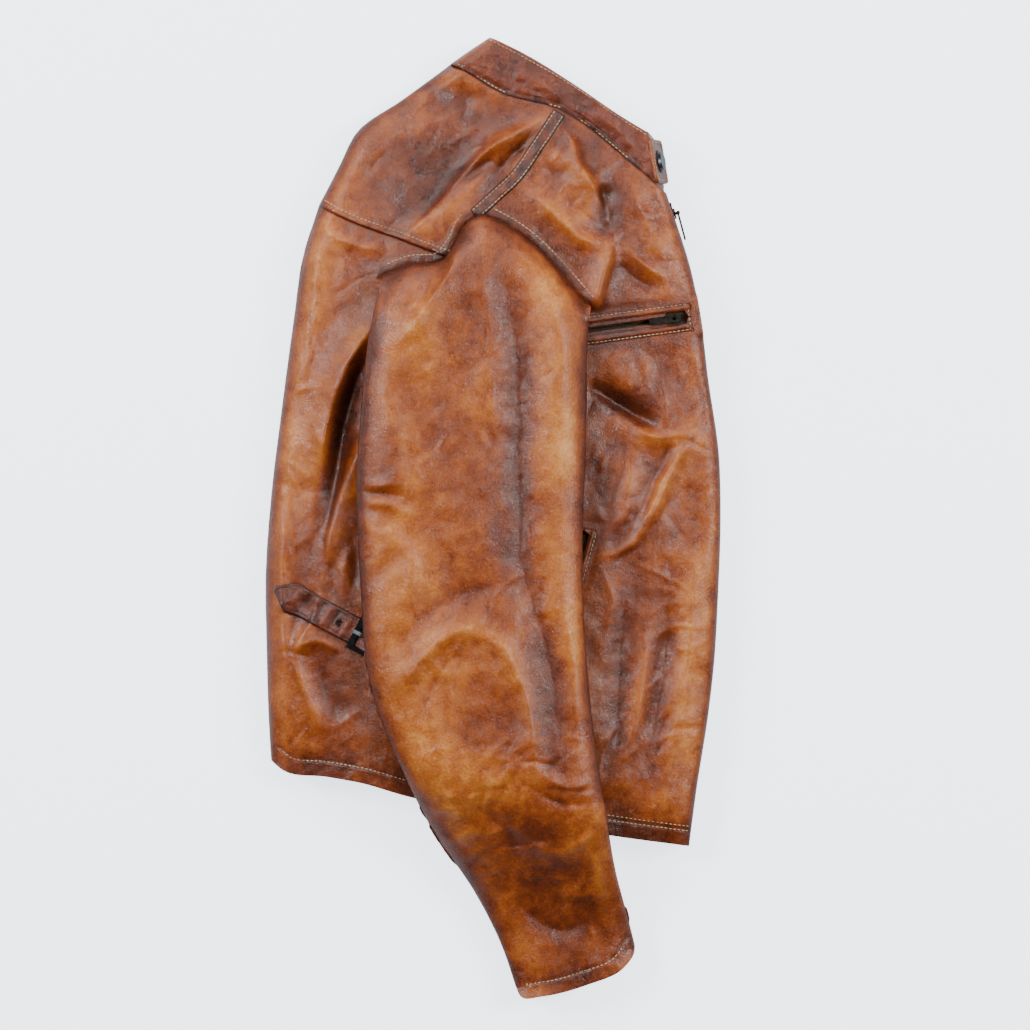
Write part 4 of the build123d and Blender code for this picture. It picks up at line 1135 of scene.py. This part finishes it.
inner_us = np.linspace(0.03, 0.97, 60)
high, low = sleeve_inside(3.0)
grid = ring(CUFF, ARMHOLE, SLEEVE_LEFT, SLEEVE_RIGHT, inner_us, np.linspace(0.003, 0.046, 9), high, low)
leather_piece(
    "right_cuff_facing_leather", [(grid, 0.4)], dark_leather, 0.9, ["right_cuff_facing"], around=True
)
high, low = sleeve_inside(9.0)
grid = ring(CUFF, ARMHOLE, SLEEVE_LEFT, SLEEVE_RIGHT, inner_us, np.linspace(0.048, 0.88, 90), high, low)
grid[..., 2] += 0.5 * value_noise(grid[..., 0], grid[..., 1], 16, 81)
leather_piece(
    "right_sleeve_lining_cloth", [(grid, 0.5)], lining_cloth, 0.5, ["right_sleeve_lining"], around=True,
)

rows = [stitch_line(HIND_SEAM, sleeve_surface), stitch_line(offset_line(CUFF[4:-4], 12.0), sleeve_surface)]
rows[0] = rows[0] + np.array([2.6, 0, 0.3])
repeated("right_sleeve_stitching", rows, STITCH_PITCH, STITCH, thread, "jacket", seed=5)


# ---------------------------------------------------------------------------------------------------------
# Left sleeve: the same pieces of cowhide and twill as on the right, pressed flat under the body, with the top
# piece against the surface that the jacket lies on.

LEFT_BACK = smooth_line(
    [(42, -393), (10, -345), (-26, -270), (-50, -190), (-72, -70), (-74, 60), (-70, 160), (-62, 206)], 120
)
LEFT_FRONT = smooth_line(
    [(98, -365), (90, -320), (84, -270), (92, -190), (104, -70), (102, 60), (96, 160), (84, 181)], 120
)
LEFT_CUFF = smooth_line([(42, -393), (60, -386), (82, -376), (98, -365)], 40)
LEFT_HEAD = smooth_line(
    [(-62, 206), (-38, 224), (-15, 252), (12, 249), (34, 238), (58, 216), (84, 181)], 60
)


def left_high(x, y, inset=0.0):
    edge = np.minimum(near(x, y, LEFT_BACK[::5])[0], near(x, y, LEFT_FRONT[::5])[0])
    return 7.0 + (6.2 - inset) * np.sqrt(
        1 - (1 - np.clip(edge / 16, 0, 1)) ** 2
    ) + 0.4 * value_noise(x, y, 18, 91)


def left_low(x, y, inset=0.0):
    edge = np.minimum(near(x, y, LEFT_BACK[::5])[0], near(x, y, LEFT_FRONT[::5])[0])
    head = ease(1 - near(x, y, LEFT_HEAD[::4])[0] / 40)
    flat = 7.0 - (6.6 - inset) * np.sqrt(1 - (1 - np.clip(edge / 16, 0, 1)) ** 2)
    return flat + 8.5 * head + 0.3 * ease(edge / 10) * np.abs(value_noise(x, y, 14, 92))


turn = (1 - np.cos(np.linspace(0, math.pi / 2, 8)[:-1])) * 0.1
us = np.concatenate([turn, np.linspace(0.1, 0.9, 46), 1 - turn[::-1]])
plan = patch(LEFT_CUFF, LEFT_HEAD, LEFT_BACK, LEFT_FRONT, us, spread(4.0, 600, 1.6))
grid = np.dstack([plan, left_low(plan[..., 0], plan[..., 1])])
tone = 0.5 + blotches(plan[..., 0], plan[..., 1], (), 95)
leather_piece(
    "left_sleeve_top_leather", [(grid[:, ::-1], tone[:, ::-1])], body_leather, 1.2, ["left_sleeve_top"]
)
vs = spread(4.0, 600, 1.6)
plan = patch(LEFT_CUFF, LEFT_HEAD, LEFT_BACK, LEFT_FRONT, us, vs[vs < 0.9])
grid = np.dstack([plan, left_high(plan[..., 0], plan[..., 1])])
tone = 0.5 + blotches(plan[..., 0], plan[..., 1], (), 96)
leather_piece("left_sleeve_under_leather", [(grid, tone)], body_leather, 1.2, ["left_sleeve_under"])
inner_us = np.linspace(0.03, 0.97, 50)
grid = ring(
    LEFT_CUFF, LEFT_HEAD, LEFT_BACK, LEFT_FRONT, inner_us, np.linspace(0.003, 0.046, 9),
    lambda x, y: left_high(x, y, 1.6), lambda x, y: left_low(x, y, 1.6),
)
leather_piece(
    "left_cuff_facing_leather", [(grid, 0.4)], dark_leather, 0.9, ["left_cuff_facing"], around=True
)
grid = ring(
    LEFT_CUFF, LEFT_HEAD, LEFT_BACK, LEFT_FRONT, inner_us, np.linspace(0.048, 0.88, 80),
    lambda x, y: left_high(x, y, 2.0), lambda x, y: left_low(x, y, 2.0),
)
leather_piece(
    "left_sleeve_lining_cloth", [(grid, 0.5)], lining_cloth, 0.5, ["left_sleeve_lining"], around=True,
)
rows = [
    stitch_line(LEFT_BACK[10:110] + np.array([3.0, 0]), left_low, -0.2),
    stitch_line(offset_line(LEFT_CUFF, 12.0)[1:-1], left_low, -0.2),
]
repeated("left_sleeve_stitching", rows, STITCH_PITCH, STITCH, thread, "jacket", seed=6)


# ---------------------------------------------------------------------------------------------------------
# Shoulder strips: a narrow strip of cowhide laid over each shoulder seam, where yoke and front meet, and
# stitched down both sides.

STRIP_LINE = smooth_line([(56.5, 345.5), (38, 317), (18.7, 289.6), (2.0, 273.9), (-15.5, 257.5)], 90)


def ribbon(line, half, height, lift, crown, step=0.8):
    """A grid along a line and across it: lift over the height function at its edges, crown more midway."""
    ws = np.linspace(-half, half, int(2 * half / step) + 1)
    slope = np.gradient(line, axis=0)
    slope /= np.linalg.norm(slope, axis=1)[:, None]
    side = np.column_stack([-slope[:, 1], slope[:, 0]])
    plan = line[:, None] + ws[None, :, None] * side[:, None]
    rise = lift + crown * np.sqrt(np.clip(1 - (ws / half) ** 4, 0, 1))[None]
    return plan, height(plan[..., 0], plan[..., 1]), rise, ws


for side_name, height, sign in (("right", body_surface, 1), ("left", under_surface, -1)):
    plan, z, rise, ws = ribbon(STRIP_LINE, 5.8, height, 0.1, 1.7)
    groove = 0.5 * np.exp(-(((np.abs(ws) - 4.0) / 0.6) ** 2))[None]
    pucker = 0.35 * value_noise(plan[..., 0] * 1.3, plan[..., 1] * 1.3, 5, 15)
    grid = np.dstack([plan, z + sign * (rise - groove + pucker)])
    tone = 0.2 + 0.1 * rise + 0.2 * value_noise(plan[..., 0], plan[..., 1], 7, 16) - 0.25 * groove
    tone = np.broadcast_to(tone, grid.shape[:2])
    if sign > 0:
        grid, tone = grid[:, ::-1], tone[:, ::-1]
    leather_piece(
        f"shoulder_strip_{side_name}_leather", [(grid, tone)], dark_leather, 1.0,
        [f"shoulder_strip_{side_name}"]
    )
    rows = []
    for reach in (-4.0, 4.0):
        line = offset_line(STRIP_LINE, reach)[2:-2]
        rows.append(np.column_stack([line, height(line[:, 0], line[:, 1]) + sign * 1.75]))
    repeated(f"shoulder_strip_{side_name}_stitching", rows, STITCH_PITCH, STITCH, thread, "jacket", seed=7)


# ---------------------------------------------------------------------------------------------------------
# Collar: a stand band of two leathers sewn together along the top, folded at the back with the rest, and
# turned down at its front end. The tab closes it with a snap.

COLLAR_TOP = smooth_line([(-3.4, 411.4), (28.4, 395.5), (70.9, 369.2), (107.4, 344.3), (141, 324)], 90)
COLLAR_FOLD = smooth_line([(-36.6, 389), (-20, 400.5), (-3.4, 411.4)], 40)
COLLAR_END = smooth_line([(148.4, 277.1), (146.5, 300), (141, 324)], 40)
COLLAR_RUN = 215.0


def collar_grid(inset, vs, low_z):
    """The band from its left half's front end, round the fold, to its right half's front end."""
    turn = (1 - np.cos(np.linspace(0, math.pi / 2, 9)[:-1])) * 13 / COLLAR_RUN
    us = np.concatenate([turn, np.linspace(13 / COLLAR_RUN, 1 - 15 / COLLAR_RUN, 108)])
    wall = np.linspace(1 - 15 / COLLAR_RUN, 1 - 1.5 / COLLAR_RUN, 12)[1:]
    half = 15.8 - inset
    columns = []
    for sign, shares in ((-1, np.concatenate([us, wall])[:0:-1]), (1, us), (0, wall)):
        plan = patch(
            COLLAR_WHOLE, COLLAR_TOP, COLLAR_FOLD, COLLAR_END, shares * (1 - inset / 200) + inset / 300, vs
        )
        arch = np.sqrt(1 - (1 - np.clip(shares * COLLAR_RUN / 13, 0, 1)) ** 2)[None]
        v = vs[:, None]
        if sign:
            roll = 4.0 * (1 - np.sqrt(1 - np.clip((v - 0.9) / 0.1, 0, 1) ** 2)) * arch
            dip = 3.0 * np.exp(-((v / 0.12) ** 2)) * arch * (0.5 if sign > 0 else 0)
            z = EDGE_Z + sign * (half * arch - roll - dip)
        else:
            drop = (shares - shares[0]) / (shares[-1] - shares[0])
            z = EDGE_Z + half - (2 * half - low_z) * (drop[None] ** 1.3) - 1.5 * (v > 0.93)
            z = np.broadcast_to(z, plan.shape[:2])
        columns.append(np.dstack([plan, np.broadcast_to(z, plan.shape[:2])]))
    return np.concatenate(columns, axis=1), len(us) + len(wall) - 1


vs = np.concatenate([np.linspace(0, 0.88, 30), 1 - 0.12 * (1 - np.sin(np.linspace(0, math.pi / 2, 10)))])
grid, low_count = collar_grid(0.0, vs, 1.2)
x, y = grid[..., 0], grid[..., 1]
edge = ease(back_gap(x, y) / 12) * ease((1 - vs) / 0.12)[:, None]
relief = fold(x, y, [(10, 384), (34, 372), (60, 358)], 1.2, 5) - fold(
    x, y, [(12, 376), (36, 364), (58, 352)], 1.2, 4
)
relief += fold(x, y, [(70, 352), (96, 338), (126, 312)], 1.2, 5) - fold(
    x, y, [(80, 342), (110, 318), (134, 296)], 0.9, 4
)
relief += creases(x, y, 60, 17, (-20, 290, 140, 400), -33, 0.7, 1.8) + creases(
    x, y, 46, 18, (-20, 290, 140, 400), 50, 0.6, 1.6
)
relief += 0.5 * value_noise(x, y, 9, 19) + 0.25 * value_noise(x, y, 4, 20)
d, along, length, which = near(x, y, COLLAR_WHOLE[::3])
ticks = value_noise(along, d * 0.08, 3.4, 23) * np.exp(-(((d - 4) / 5) ** 2))
sign = np.ones(grid.shape[1])
sign[:low_count] = -1
relief = relief * edge + 0.4 * ticks - 0.5 * np.exp(-(((d - 4.0) / 1.0) ** 2))
grid[..., 2] += sign[None] * relief
# Painted highlight on the collar's crests and painted shade in its creases, with lighter and darker rubbed
# places and a darker seam.
tone = wax_and_painted_light_tone(grid[..., 2] * sign[None], 0.46, 0.06, 2) + blotches(
    x, y, ((40, 372, 26, 12, 0.16), (110, 330, 20, 14, 0.05), (0, 392, 16, 10, -0.08)), 24
)
tone = tone - 0.22 * np.exp(-((d / 3.0) ** 2)) - 0.1 * ticks + 0.1 * ease((vs - 0.93) / 0.05)[:, None]
leather_piece("collar_outer_leather", [(grid, tone)], dark_leather, 1.5, ["collar_outer"])
grid, low_count = collar_grid(2.6, np.linspace(0.02, 0.985, 26), 2.0)
tone = 0.42 + 0.1 * value_noise(grid[..., 0], grid[..., 1], 10, 26)
leather_piece("collar_inner_leather", [(grid, tone)], dark_leather, 1.0, ["collar_inner"])
rows = []
for share in (0.055, 0.91):
    line = patch(
        COLLAR_WHOLE, COLLAR_TOP, COLLAR_FOLD, COLLAR_END, np.linspace(0.03, 0.915, 150), np.array([share])
    )[0]
    top = 40.2 if share < 0.5 else 41.9
    rows.append(np.column_stack([line, np.full(150, top)]))
repeated("collar_stitching", rows, STITCH_PITCH, STITCH, thread, "jacket", seed=8)

foot, head = Vector((152, 262, 0)), Vector((141, 326, 0))
tab_up = (head - foot).normalized()
lean = Vector((0, 0, 32)) - Vector((204, -118, 0)).normalized() * 14
tab_out = tab_up.cross(lean).normalized()
tab_across = tab_out.cross(tab_up)
tab_middle = foot + tab_up * 40 + Vector((0, 0, 10)) + lean / 2 + tab_out * 0.5
TAB = dict(origin=tuple(tab_middle), x=tuple(tab_up), y=tuple(tab_across), out=tuple(tab_out))


def rounded_outline(half_u, half_v, radius, count=9):
    """Points round a rectangle with rounded corners, anticlockwise."""
    points = []
    for k, (su, sv) in enumerate(((1, 1), (-1, 1), (-1, -1), (1, -1))):
        for angle in np.linspace(k * math.pi / 2, (k + 1) * math.pi / 2, count):
            u = su * (half_u - radius) + radius * math.cos(angle)
            v = sv * (half_v - radius) + radius * math.sin(angle)
            points.append((u, v))
    return np.array(points)


def padded_plate(plane, outline, low, high, bead, wave=0.0):
    """A leather plate on a plane: rounded all round, closed top and bottom, hollowed inside its stitches."""
    levels = [
        (0.02, low), (0.9, low), (0.985, low), (1.0, low + 0.35 * (high - low)),
        (1.0, low + 0.7 * (high - low))
    ]
    levels += [
        (0.985, high - 0.1), (0.95, high), (0.86, high - bead), (0.7, high - 0.1), (0.45, high),
        (0.2, high), (0.02, high)
    ]
    rings = []
    for share, level in levels:
        points = outline * share
        bumps = wave * value_noise(points[:, 0], points[:, 1], 6, 28) if level >= high - bead else 0.0
        rings.append(on_plane(plane, points[:, 0], points[:, 1], level + bumps))
    tone = np.array(
        [0.4, 0.4, 0.5, 0.75, 0.78, 0.6, 0.5, 0.3, 0.45, 0.5, 0.5, 0.5]
    )[:, None] * np.ones((1, len(outline)))
    return np.array(rings), tone


outline = rounded_outline(19, 16.9, 5)
grid, tone = padded_plate(TAB, outline, 0.0, 3.5, 0.5, 0.3)
leather_piece(
    "collar_tab_leather", [(grid, tone)], dark_leather, 0, ["collar_tab"], body="collar_flap", around=True
)
loop = np.concatenate([outline * 0.86, outline[:1] * 0.86])
repeated(
    "collar_tab_stitching", [on_plane(TAB, loop[:, 0], loop[:, 1], 3.25)], 3.0, STITCH, thread,
    "collar_flap", seed=9
)

# Hanger loop: a folded strip of lining sewn inside the neck.
loop_line = smooth_line(
    [(-9, 361, 27.6), (0, 360, 29.0), (12, 353, 30.5), (22, 348, 29.0), (31, 345, 27.6)], 50
)
ws = np.linspace(-3.4, 3.4, 7)
side = np.array([0.42, 0.9, 0.0])
grid = loop_line[:, None] + ws[None, :, None] * side
grid[..., 2] += 0.3 * np.cos(ws / 3.4 * math.pi / 2)[None]
leather_piece(
    "hanger_loop_cloth", [(grid[:, ::-1], 0.5)], lining_cloth, 1.2, ["hanger_loop"]
)


# ---------------------------------------------------------------------------------------------------------
# Front zip: two woven cotton tapes sewn inside the front edges, each with a row of darkened brass teeth
# clamped along its edge.

ZIP_RADIUS = 1091.8  # of the curved front edge, in millimetres


def arc_points(radius, y):
    return -900 + np.sqrt(radius**2 - (y + 25) ** 2)


ys = np.linspace(-263, 269, 260)
for side_name, sign in (("right", 1), ("left", -1)):
    rises = np.linspace(2.7, 6.2, 8)
    wave = 0.18 * np.sin(ys / 6.0)[:, None] * np.ones((1, 8))
    xs = arc_points(ZIP_RADIUS, ys)[:, None] + wave
    zs = EDGE_Z + sign * rises[None] * np.ones((len(ys), 1))
    grid = np.dstack([xs, ys[:, None] * np.ones((1, 8)), zs])
    if sign < 0:
        grid = grid[:, ::-1]
    leather_piece(
        f"front_zip_tape_{side_name}_cloth", [(grid, 0.5)], zip_tape, 0.7, [f"front_zip_tape_{side_name}"],
    )
    line = np.column_stack(
        [arc_points(ZIP_RADIUS, ys[2:-2]), ys[2:-2], np.full(len(ys) - 4, EDGE_Z + sign * 1.6)]
    )
    repeated(
        f"front_zip_teeth_{side_name}_metal", [line], 2.2, (1.3, 1.9, 1.9), dark_brass, "jacket",
        shape="tooth", seed=1, replaces=[f"front_zip_teeth_{side_name}"],
    )


# ---------------------------------------------------------------------------------------------------------
# Zipped pockets: a cowhide welt sewn over an opening in the panel, with a slit whose lips stand over the
# zip's cotton tapes and brass teeth. A twill bag hangs behind it.


def zipped_pocket(name, plane, length, open_lip):
    half = length / 2
    us = np.linspace(-half - 3.7, half + 3.7, 150)
    gape = 1.65 + 0.4 * open_lip * ease((us + half * 0.2) / half) + 3.1 * ease((us - half + 20) / 3)
    gape = gape * ease((half + 1.0 - us) / 2) * ease((us + half + 1.0) / 2) + 0.05
    grids = []
    for sign in (1, -1):
        shares = np.concatenate([[0, 0.02, 0.06], np.linspace(0.12, 1, 16)])
        v = gape[:, None] + (12.7 - gape[:, None]) * shares[None]
        u = us[:, None] * np.ones_like(v)
        drop = np.array([0.8, 0.4, 0.1] + [0.0] * 16)[None]
        lip = 0.7 * np.exp(-(((v - 8.2) / 1.6) ** 2)) - 0.25 * np.exp(-((v / 5.5) ** 4))
        groove = 0.55 * np.exp(-(((v - 10.9) / 0.9) ** 2)) + 0.4 * np.exp(-(((v - 5.4) / 1.0) ** 2))
        ticks = 0.4 * value_noise(u, v * 0.12, 4.2, 33 + sign) * np.exp(-(((v - 9) / 5) ** 2))
        edge = -1.4 * ease((v - 11.9) / 0.8)
        w = 0.15 - drop + lip - groove + ticks * ease((v - 5.0) / 2) + edge
        grid = on_plane(plane, u, sign * v, w)
        tone = (
            0.33 + 0.1 * lip - 0.2 * groove + 0.25 * ticks + 0.08 * value_noise(u, v, 14, 35) - 0.05 * drop
        )
        if sign < 0:
            grid, tone = grid[:, ::-1], tone[:, ::-1]
        grids.append((grid[:, ::-1], tone[:, ::-1]))
    leather_piece(f"{name}_welt_leather", grids, body_leather, 1.0, [f"{name}_welt"])
    tapes, rows = [], []
    for sign in (1, -1):
        v = sign * np.linspace(2.7, 10.8, 9)[None] * np.ones((120, 1))
        u = np.linspace(-half - 2.6, half + 2.6, 120)[:, None] * np.ones((1, 9))
        tape = on_plane(plane, u, v, -4.6 + 0.1 * np.sin(u / 1.3))
        tapes.append((tape[:, ::-1] if sign > 0 else tape, 0.5))
        line = np.linspace(-half + 0.8, half - 0.8, 60)
        rows.append(on_plane(plane, line, np.full(60, sign * 1.6), -4.8))
    leather_piece(f"{name}_tape_cloth", tapes, zip_tape, 0.7, [f"{name}_tape"])
    repeated(
        f"{name}_teeth_metal", rows, 2.0, (1.2, 1.9, 1.9), dark_brass, "jacket",
        shape="tooth", seed=2, replaces=[f"{name}_teeth"],
    )
    corner = rounded_outline(half + 2.0, 10.9, 2.0, 5)
    row = np.concatenate([corner, corner[:1]])
    line = on_plane(plane, row[:, 0], row[:, 1], 0.1)
    repeated(f"{name}_stitching", [line], STITCH_PITCH, STITCH, thread, "jacket", seed=10)


def pocket_bag(name, corners, upper):
    """A flat cloth pouch hanging between the leather and the lining."""
    low_left, up_left, up_right, low_right = [np.array(p, float) for p in corners]
    sides = ((low_left, low_right), (up_left, up_right), (low_left, up_left), (low_right, up_right))
    lines = [smooth_line([start, end], 20) for start, end in sides]
    us = 0.5 - 0.5 * np.cos(np.linspace(0, math.pi, 36))
    vs = np.linspace(0, 1, 50)
    def face(depth):
        def height(x, y):
            if upper:
                base = np.minimum(body_height(x, y, True) - depth, body_surface(x, y) - depth + 5.0)
            else:
                base = body_height(x, y, False) + 18 - depth
            return base + 0.3 * value_noise(x, y, 12, 37)
        return height
    grid = ring(*lines, us, vs, face(8.2), face(9.8))
    middle = 0.5 * (grid + np.concatenate([grid[:, :1], grid[:, :0:-1]], axis=1))
    pinch = ease(np.minimum(vs, 1 - vs) / 0.05)[:, None, None]
    grid = middle + (grid - middle) * pinch
    leather_piece(f"{name}_cloth", [(grid, 0.5)], lining_cloth, 0, [name], around=True)


zipped_pocket("chest_pocket", CHEST, 128.0, 1.1)
zipped_pocket("hand_pocket_right", HAND_RIGHT, 150.0, 0.6)
zipped_pocket("hand_pocket_left", HAND_LEFT, 150.0, 0.6)
pocket_bag("chest_pocket_bag", ((50, 54), (40, 164), (162, 176), (166, 64)), True)
pocket_bag("hand_pocket_right_bag", ((30, -166), (63, -6), (101, -10), (98, -174)), True)
pocket_bag("hand_pocket_left_bag", ((30, -166), (63, -6), (101, -10), (98, -174)), False)


# ---------------------------------------------------------------------------------------------------------
# Waist adjusters: a stitched strap of cowhide through a black enamelled buckle, which a leather loop holds to
# the side. The strap's slot lets the prong through, and its end lies along the panel.


def strap_rise(s):
    """Height of the strap's underside over the plane at s along it: over the pivot bar, under the far bar."""
    return np.interp(
        s, [-32, -9, -5.5, -2.5, 2.5, 6, 11, 13, 20, 100],
        [3.2, 3.2, 4.6, 6.2, 6.2, 4.4, 1.2, 0.7, 0.5, 0.5]
    )


def strap_half(s):
    return np.interp(s, [-32, 66, 80, 96.2], [11.4, 11.4, 13.4, 1.2])


for side_name, plane, height, sign in (
    ("right", WAIST_RIGHT, body_surface, 1), ("left", WAIST_LEFT, under_surface, -1)
):
    s = np.concatenate([[-31.6, -31.2], np.linspace(-30.6, 94.5, 150), [95.4, 96.0, 96.2]])
    shares = np.concatenate([[-1, -1, -0.985, -0.95], np.linspace(-0.9, 0.9, 24), [0.95, 0.985, 1, 1]])
    w = strap_half(s)[:, None] * shares[None]
    rim = 2.2 * np.sqrt(np.clip(1 - ((np.abs(shares) - 0.9) / 0.1).clip(0, 1) ** 2, 0, 1))
    rim[[0, -1]] = 0.0
    rim[[1, -2]] = 1.1
    tip = ease((96.6 - s) / 2) * 0.75 + 0.25
    edge = np.minimum(strap_half(s)[:, None] - np.abs(w), (96.2 - s)[:, None] * 0.75)
    groove = 0.4 * np.exp(-(((edge - 2.6) / 0.6) ** 2))
    u = s[:, None] * np.ones_like(w)
    bends = ((26, 0.5), (38, -0.5), (45, 0.6), (52, -0.5), (60, 0.55), (68, -0.4), (76, 0.4))
    crumple = sum(a * np.exp(-(((u - c - 0.12 * w) / 2.2) ** 2)) for c, a in bends)
    crumple = (crumple + 0.25 * value_noise(u, w, 4, 38)) * ease(edge / 4)
    rise = strap_rise(s)[:, None] + rim[None] * tip[:, None] - groove * (rim > 1)[None] + crumple
    grid = on_plane(plane, u, w, rise)
    flat = on_plane(plane, u, w, 0.0)
    follow = ease((u - 34) / 16)
    grid[..., 2] += follow * (height(flat[..., 0], flat[..., 1]) - flat[..., 2])
    tone = (
        0.46 - 0.4 * groove + 0.22 * crumple - 0.16 * ease((2.0 - edge) / 1.5)
        + 0.1 * value_noise(u, w, 16, 39)
    )

    def strap_hole(points, plane=plane):
        u, v = in_plane(plane, points[:, 0], points[:, 1])[:2]
        return ((u > -3.5) & (u < 11.5) & (np.abs(v) < 1.9)) | ((u - 33) ** 2 + v**2 < 2.4**2)

    leather_piece(
        f"waist_strap_{side_name}_leather", [(grid, tone)], dark_leather, 0.8, [f"waist_strap_{side_name}"],
        hole=strap_hole
    )
    line = np.concatenate([
        np.column_stack([np.linspace(14, 66, 50), np.full(50, 8.8)]),
        np.column_stack([np.linspace(67, 79.5, 14), np.linspace(8.9, 10.8, 14)]),
        np.column_stack([np.linspace(80.5, 92.4, 14), np.linspace(10.3, 0.3, 14)]),
    ])
    line = np.concatenate([line, (line * np.array([1, -1]))[::-1]])
    base = on_plane(plane, line[:, 0], line[:, 1], strap_rise(line[:, 0]) + 1.9)
    flat = on_plane(plane, line[:, 0], line[:, 1], 0.0)
    base[:, 2] += ease((line[:, 0] - 34) / 16) * (height(flat[:, 0], flat[:, 1]) - flat[:, 2])
    repeated(f"waist_strap_{side_name}_stitching", [base], 2.9, (2.1, 0.5, 0.45), thread, "jacket", seed=11)

    # The loop: two straps of thin leather round the buckle's bar, one on each side of the prong.
    profile = [
        (-27, 1.9), (-22, 2.2), (-9, 2.3), (-5.5, 2.6), (-3.4, 4.6), (-1.6, 5.8), (0.6, 5.9), (2.3, 4.6),
        (2.7, 3.0), (1.8, 1.1), (0, 0.6), (-4, 0.55), (-27, 0.5)
    ]
    outline = smooth_line(profile, 60)
    grids = []
    for low_v, high_v in ((-10, -2.0), (2.0, 10)):
        v = np.linspace(low_v, high_v, 9)
        u_grid, w_grid = outline[None, :, 0] * np.ones((9, 1)), outline[None, :, 1] * np.ones((9, 1))
        loop_grid = on_plane(plane, u_grid, v[:, None] * np.ones((1, 60)), w_grid)
        grids.append((loop_grid[::-1], 0.4 + 0.1 * value_noise(u_grid, v[:, None], 6, 40)))
    leather_piece(
        f"waist_buckle_loop_{side_name}_leather", grids, dark_leather, 0.6,
        [f"waist_buckle_loop_{side_name}"]
    )


# ---------------------------------------------------------------------------------------------------------
# Floor, camera and lights. Pale backdrop paper under a ring of soft windows; the paper glows for the camera
# only, so that the leather doesn't mirror it.

mesh = bpy.data.meshes.new("floor")
mesh.from_pydata(
    [(-6, -6, -0.0005), (6, -6, -0.0005), (6, 6, -0.0005), (-6, 6, -0.0005)], [], [(0, 1, 2, 3)]
)
floor = bpy.data.objects.new("floor", mesh)
scene.collection.objects.link(floor)
paper, tree = new_material("pale backdrop paper")
place = add_node(tree, "ShaderNodeTexCoord").outputs["Object"]
fibre = noise(tree, place, 900, 3)
seen = add_node(tree, "ShaderNodeLightPath").outputs["Is Camera Ray"]
glow = maths(tree, "MULTIPLY", seen, 2.9)
paper_colour = ramp(tree, fibre, [(0.3, "E4E9F0"), (0.7, "E9EEF5")])
shade(
    tree,
    {
        "Base Color": paper_colour, "Roughness": 0.9, "Emission Color": colour("E3ECF8"),
        "Emission Strength": glow
    }
)
mesh.materials.append(paper)

camera_data = bpy.data.cameras.new("camera")
camera = bpy.data.objects.new("camera", camera_data)
scene.collection.objects.link(camera)
camera.location = (0.0187, 0.0026, 3.05)
camera_data.sensor_width = 36
camera_data.lens = 36 * 3.0 / 0.8755
scene.camera = camera


def area_light(name, place, target, size, power, tint):
    data = bpy.data.lights.new(name, "AREA")
    data.shape = "RECTANGLE"
    data.size, data.size_y = size
    data.energy = power
    data.color = tint
    light = bpy.data.objects.new(name, data)
    light.location = place
    light.rotation_euler = (Vector(target) - Vector(place)).to_track_quat("-Z", "Y").to_euler()
    scene.collection.objects.link(light)


area_light("north window", (-0.4, 2.7, 1.7), (0, 0, 0), (3.0, 1.5), 85, (0.95, 0.98, 1.0))
area_light("west window", (-1.9, 0.7, 2.0), (0, 0, 0), (0.9, 1.2), 45, (0.97, 0.98, 1.0))
area_light("east window", (1.9, 0.5, 2.0), (0, 0, 0), (0.9, 1.2), 45, (0.97, 0.99, 1.0))
area_light("east strip", (1.6, 0.6, 2.4), (0, 0, 0), (0.3, 1.6), 34, (1.0, 1.0, 1.0))
area_light("west strip", (-1.7, 0.9, 2.3), (0, 0, 0), (0.3, 1.4), 34, (1.0, 1.0, 1.0))
world = bpy.data.worlds.new("world")
world.use_nodes = True
world.node_tree.nodes["Background"].inputs[0].default_value = (0.86, 0.91, 1.0, 1)
world.node_tree.nodes["Background"].inputs[1].default_value = 0.16
scene.world = world
